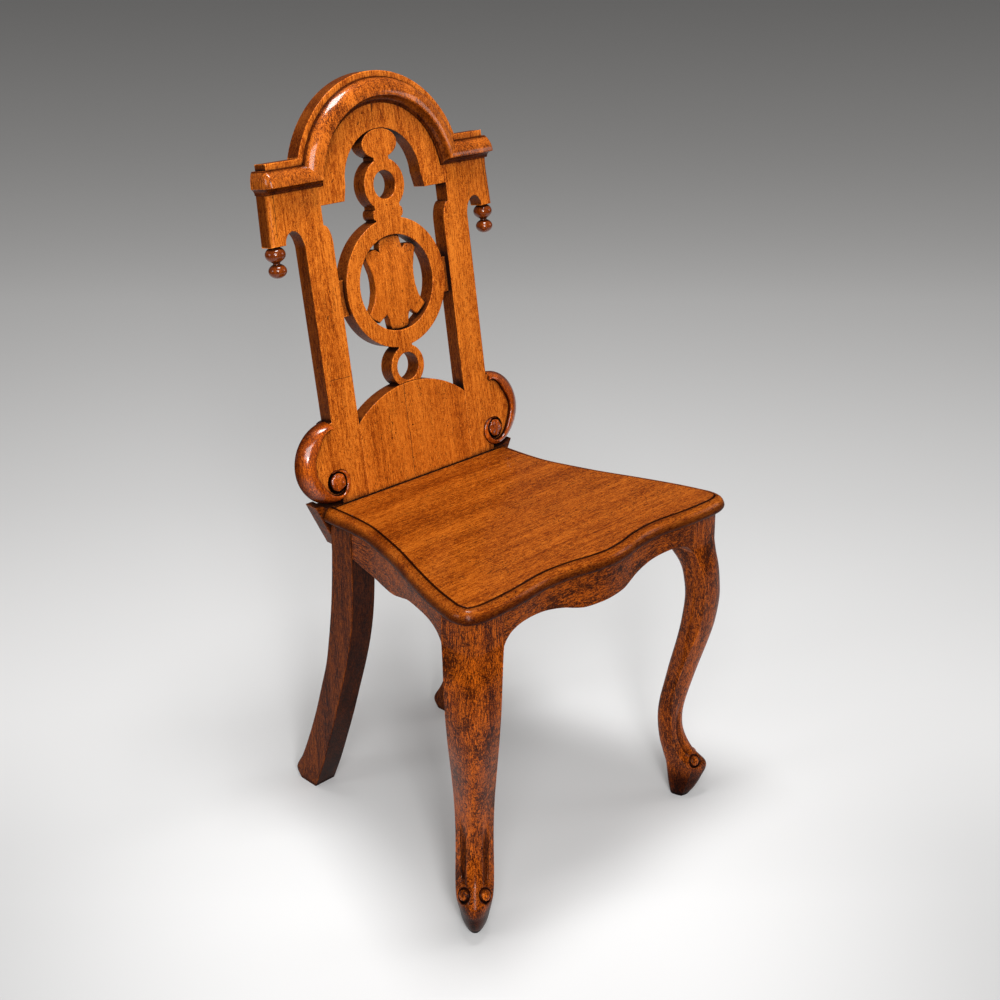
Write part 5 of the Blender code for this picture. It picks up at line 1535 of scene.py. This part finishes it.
class HALLCHAIR_OT_mouldings(bpy.types.Operator):
    """Bend the hood moulding round the arch with Geometry Nodes and run the shoulder returns"""

    bl_idname = "hallchair.mouldings"
    bl_label = "Mouldings"

    def execute(self, context):
        self.hood()
        self.shoulders()
        return {"FINISHED"}

    def carved(self):
        """Polished oak of the mouldings."""
        return oak("waxed_moulding", tones_of("carved"), UP_THE_BACK, (0.53, 0.27, 0), mottle=0.30,
                   reach=0.012, gloss=0.32, bump=0.25, wax=0.60, wax_rough=0.11, wear=0.7)

    def hood(self):
        """Bend a straight strip of the section round the arch, mitred to the shoulders' level."""
        bm = with_shade_layer()
        steps = 120
        skin(bm, [[(step / steps, up, out + FIT, dark) for up, out, dark in MOULDING]
                  for step in range(steps + 1)])
        bent = object_of("hood_strip", mesh_of("hood_strip", bm))
        modifier = bent.modifiers.new("bend", "NODES")
        modifier.node_group, sockets = self.bend_tree()
        for label, value in (("Radius", HOOD_RADIUS), ("Face", HOOD_FACE), ("Foot", MOULDING_FOOT),
                             ("Shoulder Face", SHOULDER_FACE), ("Arch Rise", ARCH_RISE)):
            modifier[sockets[label]] = value
        bake_modifiers(bent)
        bm = bmesh.new()
        bm.from_mesh(bent.data)
        bpy.data.objects.remove(bent, do_unlink=True)
        place("hood_moulding", bm, self.carved(), "oak_carved", ["crest_hood_moulding"], BACK_FRAME,
              sharp=28)

    def bend_tree(self):
        """X along the run, Y up the section: laid on circles round the arch's middle."""
        labels = ("Radius", "Face", "Foot", "Shoulder Face", "Arch Rise")
        lengths = [(label, NUMBER, None, "DISTANCE") for label in labels]
        tree, given, out = start_group("bend_round_arch", [("Geometry", GEOMETRY, None)] + lengths,
                                       (("Geometry", GEOMETRY),), "GeometryNodeTree")
        apart = wires(tree, node_in(tree, "ShaderNodeSeparateXYZ", {
            0: wire(tree, "GeometryNodeInputPosition")}))
        radius = given["Radius"] - given["Face"] * (1.0 - apart["Y"])
        height = given["Foot"] + given["Shoulder Face"] * apart["Y"]
        start = maths("ARCSINE", (height - given["Arch Rise"]) / radius)
        angle = start + (math.pi - start * 2.0) * apart["X"]
        laid = wire(tree, "ShaderNodeCombineXYZ", {
            "X": radius * maths("COSINE", angle),
            "Y": given["Arch Rise"] + radius * maths("SINE", angle),
            "Z": apart["Z"],
        })
        moved = wire(tree, "GeometryNodeSetPosition", {"Geometry": given["Geometry"], "Position": laid})
        end_geometry(tree, out, moved, self.carved())
        inputs = [item for item in tree.interface.items_tree if item.in_out == "INPUT"]
        return tree, {item.name: item.identifier for item in inputs}

    def shoulders(self):
        """The short runs from the mitre round the ears' ends, with a rounded corner."""
        inset, full_reach = 0.0030, 0.01395
        corner = EAR_OUTER + FIT - inset
        # The shoulders carry 0.18 more painted shade all over than the hood.
        section = [(up, out, min(1.0, dark + 0.18)) for up, out, dark in MOULDING]
        rings = [[]]
        for up, out, dark in section:
            radius = HOOD_RADIUS - HOOD_FACE * (1 - up)
            height = MOULDING_FOOT + SHOULDER_FACE * up
            start = math.asin((height - ARCH_RISE) / radius)
            rings[0].append((radius * math.cos(start) + FIT, height, FIT + out, dark))
        for step in range(17):
            angle = math.pi / 2 * step / 16
            ring = []
            for up, out, dark in section:
                side = inset + 0.0045 * out / full_reach
                ring.append((corner + side * math.sin(angle), MOULDING_FOOT + SHOULDER_FACE * up,
                             FIT + out * math.cos(angle), dark))
            rings.append(ring)
        rings.append([(s, t, -BOARD, dark) for s, t, _, dark in rings[-1]])
        bm = with_shade_layer()
        skin(bm, rings)
        place_pair("shoulder_moulding", bm, self.carved(), "oak_carved", ["shoulder_moulding"],
                   BACK_FRAME, sharp=28)


class HALLCHAIR_OT_pendants(bpy.types.Operator):
    """Turn the pendants that hang under the ears"""

    bl_idname = "hallchair.pendants"
    bl_label = "Pendants"

    def execute(self, context):
        material = oak("waxed_pendant", tones_of("frame"), UP_THE_BACK, (0.2, 0.2, 0.3), band=70.0,
                       pores=0.2, mottle=0.2, streaks=0.25, reach=0.009, gloss=0.22, bump=0.2,
                       wax=0.9, wax_rough=0.10)
        axis = EAR_OUTER + EAR_FLARE - 0.0105
        up = Matrix.Translation((axis, 0, -BOARD / 2)) @ Matrix.Rotation(math.radians(-90), 4, "X")
        pendant = lathe(self.profile(), 64, up)
        place_pair("pendant", pendant, material, "oak_carved", ["pendant"], BACK_FRAME, weigh=False,
                   sharp=50)
        return {"FINISHED"}

    def profile(self):
        """Two turned balls under a pin, from the bottom upwards."""
        ball_radius, drop_radius = PENDANT_BALLS
        ball, drop = ball_radius * 0.80, drop_radius * 0.80
        top = EAR_FOOT + 0.0006
        ball_middle = top - ball * 0.97
        drop_middle = ball_middle - (ball + drop) * 1.03
        lower = arc((0, drop_middle), (drop_radius, drop), -90, 66, 24)
        upper = arc((0, ball_middle), (ball_radius, ball), -66, 68, 24)
        waist = (lower[-1][1] + upper[0][1]) / 2
        neck = [(0.0044, waist + step) for step in (-0.0003, 0.0003)]
        return [(0, lower[0][1])] + lower[1:] + neck + upper + [(0.0050, top), (0, top)]


# The roll's section and the narrower band's, from the inner edge outwards: the share across, how
# far down from the crest in metres, and how dark its painted shade is.
ROLL = (
    (0.0, 0.0075, 1.0), (0.012, 0.0046, 1.0), (0.04, 0.0022, 0.7), (0.09, 0.0007, 0.15),
    (0.17, 0.0001, 0.0), (0.27, 0.0004, 0.0), (0.40, 0.0013, 0.0), (0.53, 0.0029, 0.05),
    (0.65, 0.0050, 0.15), (0.76, 0.0076, 0.35), (0.85, 0.0102, 0.50), (0.91, 0.0120, 0.60),
    (0.95, 0.0134, 0.68), (0.967, 0.0148, 0.72), (0.967, 0.0160, 0.76), (0.95, 0.0172, 0.8),
    (0.90, 0.0188, 0.85), (0.82, 0.0205, 0.9), (0.68, 0.0238, 0.9), (0.50, 0.0270, 0.9),
)
BAND = (
    (0.0, 0.0080, 1.0), (0.01, 0.0055, 1.0), (0.04, 0.0030, 0.8), (0.10, 0.0012, 0.1),
    (0.18, 0.0004, 0.0), (0.30, 0.0, 0.0), (0.42, 0.0, 0.0), (0.54, 0.0002, 0.0),
    (0.64, 0.0006, 0.0), (0.74, 0.0013, 0.05), (0.83, 0.0022, 0.25), (0.90, 0.0032, 0.6),
    (0.96, 0.0044, 0.9), (1.0, 0.0060, 1.0), (1.0, 0.0090, 1.0), (1.0, 0.0120, 1.0),
    (1.0, 0.0150, 1.0), (1.0, 0.0180, 1.0), (1.0, 0.0200, 1.0), (1.0, 0.0225, 1.0),
)


class HALLCHAIR_OT_volutes(bpy.types.Operator):
    """Carve the volutes at the foot of the back"""

    bl_idname = "hallchair.volutes"
    bl_label = "Volutes"

    def execute(self, context):
        bm = with_shade_layer()
        self.add_roll(bm)
        self.trim(bm)
        self.add_eye(bm)
        material = oak("waxed_volute", tones_of("frame", 1.9), UP_THE_BACK, (0.66, 0.12, 0.4), pores=0.35,
                       streaks=0.42, reach=0.009, gloss=0.26, bump=0.22, wax=1.0, wax_rough=0.14,
                       dirt=1.1)
        place_pair("volute", bm, material, "oak_carved", ["volute"], BACK_FRAME, weigh=False, sharp=42)
        return {"FINISHED"}

    def section(self, inner, outer, crest, band):
        """One section between the inner and outer edges, changing from the roll to the band."""
        ring = []
        for roll, narrow in zip(ROLL, BAND):
            across, down, dark = [a + (b - a) * band for a, b in zip(roll, narrow)]
            side = inner + (outer - inner) * across
            # Painted shade: darker on the roll's lower outer side, and close to the board along the
            # carving's edges.
            low = clamped((0.028 - side.y) / 0.020) * clamped((across - 0.35) / 0.4)
            dark = max(dark, 0.85 * low * (1 - band))
            if across < 0.5 or band > 0.3:
                dark = max(dark, ease(0.0022, 0.0006, crest - down))
            ring.append((side.x, side.y, crest - down, dark))
        ring.append((inner.x, inner.y, ring[-1][2], 1.0))
        return ring

    def add_roll(self, bm):
        """The broad roll from the stile's edge, and its curl in under the eye."""
        crest = 0.0052
        rings = []
        for turn, sink in ((101.0, 0.0115), (94.2, 0.0078), (93.0, 0.0070)):
            rings.append(self.roll_ring(turn, crest - sink, 1.0))
        for step in range(97):
            share = step / 96
            turn = 92.6 - 182.6 * share
            rings.append(self.roll_ring(turn, crest, 1 - ease(0.0, 0.05, share)))
        low = VOLUTE.y - VOLUTE_HALF_HEIGHT
        start_reach = EYE.y - low
        for step in range(1, 73):
            share = step / 72
            angle = math.radians(-90 - 205 * share)
            bore = CURL_BORE - 0.0038 * ease(0.02, 0.42, share)
            reach = start_reach + (0.0215 - start_reach) * ease(-0.15, 0.50, share)
            reach += (0.0158 - reach) * ease(0.40, 1.0, share)
            inner, outer = EYE + swung(bore, bore, angle), EYE + swung(reach, reach, angle)
            top = crest - 0.0024 * ease(0.05, 0.50, share) - 0.0026 * ease(0.55, 1.0, share)
            rings.append(self.section(inner, outer, top, ease(0.0, 0.40, share)))
        skin(bm, rings)

    def roll_ring(self, turn, crest, slant):
        """The section at an angle round the volute, its cut end slanted by a share."""
        inner_turn = math.radians(turn + 1.6 * slant)
        outer_turn = math.radians(turn - 2.6 * slant)
        bore = ROLL_BORE + (VOLUTE.y - EYE.y + CURL_BORE - ROLL_BORE) * max(0.0, -math.sin(inner_turn)) ** 5
        bore += (0.0430 - ROLL_BORE) * max(0.0, math.sin(inner_turn)) ** 7
        outer = VOLUTE + swung(VOLUTE_REACH, VOLUTE_HALF_HEIGHT, outer_turn)
        inner = VOLUTE + swung(bore, bore, inner_turn)
        return self.section(inner, outer, crest, 0.0)

    def add_eye(self, bm):
        """The faceted button at the middle of the curl, on a floor let into the board."""
        floor, back = -0.0042, -BOARD
        # Third numbers: painted shade, darkest in the groove round the button and on its foot.
        profile = [(0, back, 0), (0.0147, back, 0), (0.0147, floor, 1), (0.0124, floor, 1),
                   (0.0119, floor + 0.0016, 1), (0.0117, 0.0008, 0.9), (0.0113, 0.0021, 0.3),
                   (0.0101, 0.0034, 0), (0.0060, 0.0044, 0), (0, 0.0048, 0)]
        button = lathe(profile, 48, Matrix.Translation((EYE.x, EYE.y, 0)))
        for vert in button.verts:
            away = Vector((vert.co.x - EYE.x, vert.co.y - EYE.y))
            if vert.co.z > 0.0020:
                facet = math.cos(5 * math.atan2(away.y, away.x) + 0.7)
                vert.co.z += 0.0007 * facet * ease(0.0, 0.008, away.length)
        join_in(bm, button)

    def trim(self, bm):
        """Keep the scroll above the seat and out of the stile's back."""
        bmesh.ops.recalc_face_normals(bm, faces=bm.faces)
        cut = bmesh.ops.bisect_plane(bm, geom=list(bm.verts) + list(bm.edges) + list(bm.faces),
                                     plane_co=(0, 0.0006, 0), clear_outer=True,
                                     plane_no=(0, -math.cos(RAKE), math.sin(RAKE)))
        edges = [item for item in cut["geom_cut"] if isinstance(item, bmesh.types.BMEdge)]
        bmesh.ops.holes_fill(bm, edges=edges, sides=0)


# Stage

# The floor's grey by the reciprocal of the distance in metres from a place that is FLOOR_START in
# front of the chair's middle. The reciprocal runs evenly up the photograph.
FLOOR_START = 1.7
# These greys are painted shade: near white round the chair and grey far behind it.
FLOOR_GREYS = (
    (0.0630, 0.425), (0.1170, 0.568), (0.1738, 0.697), (0.2338, 0.805), (0.2973, 0.770),
    (0.3644, 0.735), (0.4357, 0.730), (0.5115, 0.715), (0.5922, 0.745), (0.6782, 0.740),
    (0.7702, 0.670),
)


class HALLCHAIR_OT_stage(bpy.types.Operator):
    """Lay the pale floor, hang the soft lamps and set the camera"""

    bl_idname = "hallchair.stage"
    bl_label = "Stage"

    def execute(self, context):
        studio = context.scene.hall_chair_studio
        if studio.show_floor:
            self.floor(studio)
        self.world(context.scene, studio)
        self.lamps(studio)
        self.camera(context.scene)
        context.scene.view_settings.view_transform = "Standard"
        return {"FINISHED"}

    def floor(self, studio):
        """A wide flat floor, white round the chair, painted grey far behind it and at the near sides as
        shade, and dark out of view.
        """
        bm = bmesh.new()
        bmesh.ops.create_circle(bm, cap_ends=True, segments=96, radius=40.0)
        made = object_of("studio_floor", mesh_of("studio_floor", bm))
        made.location.z = -0.0002
        material, tree = start_material("studio_floor")
        apart = wires(tree, node_in(tree, "ShaderNodeSeparateXYZ", {0: coordinate(tree, "Object")}))
        behind = (apart["X"] + apart["Y"]) * DIAGONAL
        aside = abs((apart["X"] - apart["Y"]) * DIAGONAL)
        reach = maths("MAXIMUM", behind + FLOOR_START, 0.5)
        ramp = node_in(tree, "ShaderNodeValToRGB", {"Fac": 1.0 / reach})
        while len(ramp.color_ramp.elements) < len(FLOOR_GREYS):
            ramp.color_ramp.elements.new(0.5)
        for element, (position, grey) in zip(ramp.color_ramp.elements, FLOOR_GREYS):
            element.position = position
            element.color = (grey, grey, grey, 1.0)
        greys = Wire(tree, ramp.outputs["Color"])
        shade = blend(1.0, greys, tuple(studio.floor_tint), "MULTIPLY")
        outside = spread(aside - (reach * 0.40 + 0.5), 0.0, 1.2)
        unseen = maths("MAXIMUM", outside, spread(behind, -0.65, -1.5))
        # Painted shade: the near sides of the floor are darkened.
        corner = spread(aside, 0.20, 0.75) * spread(reach, 2.0, 1.4, 0.0, 0.30)
        shade = blend(unseen, blend(corner, shade, BLACK), tuple(studio.dark_floor))
        feed(tree.nodes["Principled BSDF"], {
            "Base Color": shade, "Roughness": 0.9, "Specular IOR Level": 0.1})
        made.data.materials.append(material)

    def world(self, scene, studio):
        """Even light on the chair, and a dark room wherever it is seen or mirrored."""
        world = bpy.data.worlds.new("studio")
        world.use_nodes = True
        tree = world.node_tree
        light = tree.nodes["Background"]
        feed(light, {"Color": (1.0, 0.98, 0.96, 1.0), "Strength": studio.sky})
        seen = wire(tree, "ShaderNodeBackground", {"Color": tuple(studio.dark_floor), "Strength": 1.0})
        path = wires(tree, tree.nodes.new("ShaderNodeLightPath"))
        ray = path["Is Camera Ray"] + path["Is Glossy Ray"]
        ray = maths("ADD", ray, path["Is Transmission Ray"], clamp=True)
        mixed = wire(tree, "ShaderNodeMixShader", {0: ray, 1: Wire(tree, light.outputs[0]), 2: seen})
        feed(tree.nodes["World Output"], {"Surface": mixed})
        scene.world = world

    def lamps(self, studio):
        """Soft boxes: one overhead, a key, a narrow strip for the glints and two weak side ones."""
        plan = (("overhead", (-0.06, -0.10, 2.30), (0.0, 0.0, 0.0), 0.55, studio.overhead),
                ("key", (-1.55, -1.80, 2.05), (0.0, 0.05, 0.60), 1.2, studio.key),
                ("strip", (-1.35, -1.85, 1.25), (0.0, 0.15, 0.70), 0.32, studio.key * 0.45),
                ("right_fill", (2.3, -1.5, 1.5), (0.0, 0.0, 0.5), 0.9, studio.key * 0.15),
                ("left_strip", (-2.1, 0.7, 1.3), (0.0, 0.1, 0.6), 0.6, studio.key * 0.14))
        for name, place_at, aim, size, power in plan:
            lamp = bpy.data.lights.new(name, "AREA")
            lamp.shape = "SQUARE"
            lamp.size = size
            lamp.energy = power
            made = object_of(name, lamp)
            made.location = place_at
            made.rotation_euler = (Vector(aim) - Vector(place_at)).to_track_quat("-Z", "Y").to_euler()

    def camera(self, scene):
        """The photograph's viewing angle."""
        camera = bpy.data.cameras.new("camera")
        camera.lens = 52.33
        camera.sensor_width = 36.0
        made = object_of("camera", camera)
        made.location = (-1.1906, Y_BACK - 1.3236, 1.1777)
        made.rotation_euler = Euler((math.radians(66.773), 0.0, math.radians(-45.265)))
        scene.camera = made


PIECES = (
    HALLCHAIR_OT_seat, HALLCHAIR_OT_aprons, HALLCHAIR_OT_front_legs, HALLCHAIR_OT_rear_legs,
    HALLCHAIR_OT_rear_rail, HALLCHAIR_OT_joinery, HALLCHAIR_OT_screws, HALLCHAIR_OT_stiles,
    HALLCHAIR_OT_lower_panel, HALLCHAIR_OT_splat, HALLCHAIR_OT_cartouche, HALLCHAIR_OT_crest,
    HALLCHAIR_OT_mouldings, HALLCHAIR_OT_pendants, HALLCHAIR_OT_volutes, HALLCHAIR_OT_stage,
)


class HALLCHAIR_PT_panel(bpy.types.Panel):
    """The chair's sizes, finish and pieces"""

    bl_idname = "HALLCHAIR_PT_panel"
    bl_label = "Hall Chair"
    bl_space_type = "VIEW_3D"
    bl_region_type = "UI"
    bl_category = "Hall Chair"

    def draw(self, context):
        layout = self.layout
        for group in (context.scene.hall_chair_sizes, context.scene.hall_chair_finish,
                      context.scene.hall_chair_studio):
            box = layout.box()
            for name in group.bl_rna.properties.keys():
                if name not in {"rna_type", "name"}:
                    box.prop(group, name)
        column = layout.column(align=True)
        for piece in PIECES:
            column.operator(piece.bl_idname)


GROUPS = (
    ("hall_chair_sizes", HallChairSizes),
    ("hall_chair_finish", HallChairFinish),
    ("hall_chair_studio", HallChairStudio),
)


def register():
    """Register the classes and hang the settings on the scene."""
    for name, group in GROUPS:
        bpy.utils.register_class(group)
        setattr(bpy.types.Scene, name, PointerProperty(type=group))
    for piece in PIECES:
        bpy.utils.register_class(piece)
    bpy.utils.register_class(HALLCHAIR_PT_panel)


def unregister():
    """Take the classes and the settings away again."""
    bpy.utils.unregister_class(HALLCHAIR_PT_panel)
    for piece in reversed(PIECES):
        bpy.utils.unregister_class(piece)
    for name, group in reversed(GROUPS):
        delattr(bpy.types.Scene, name)
        bpy.utils.unregister_class(group)


def main():
    """Build every piece and the stage."""
    register()
    for piece in PIECES:
        group, name = piece.bl_idname.split(".")
        getattr(getattr(bpy.ops, group), name)()


if __name__ == "__main__":
    main()
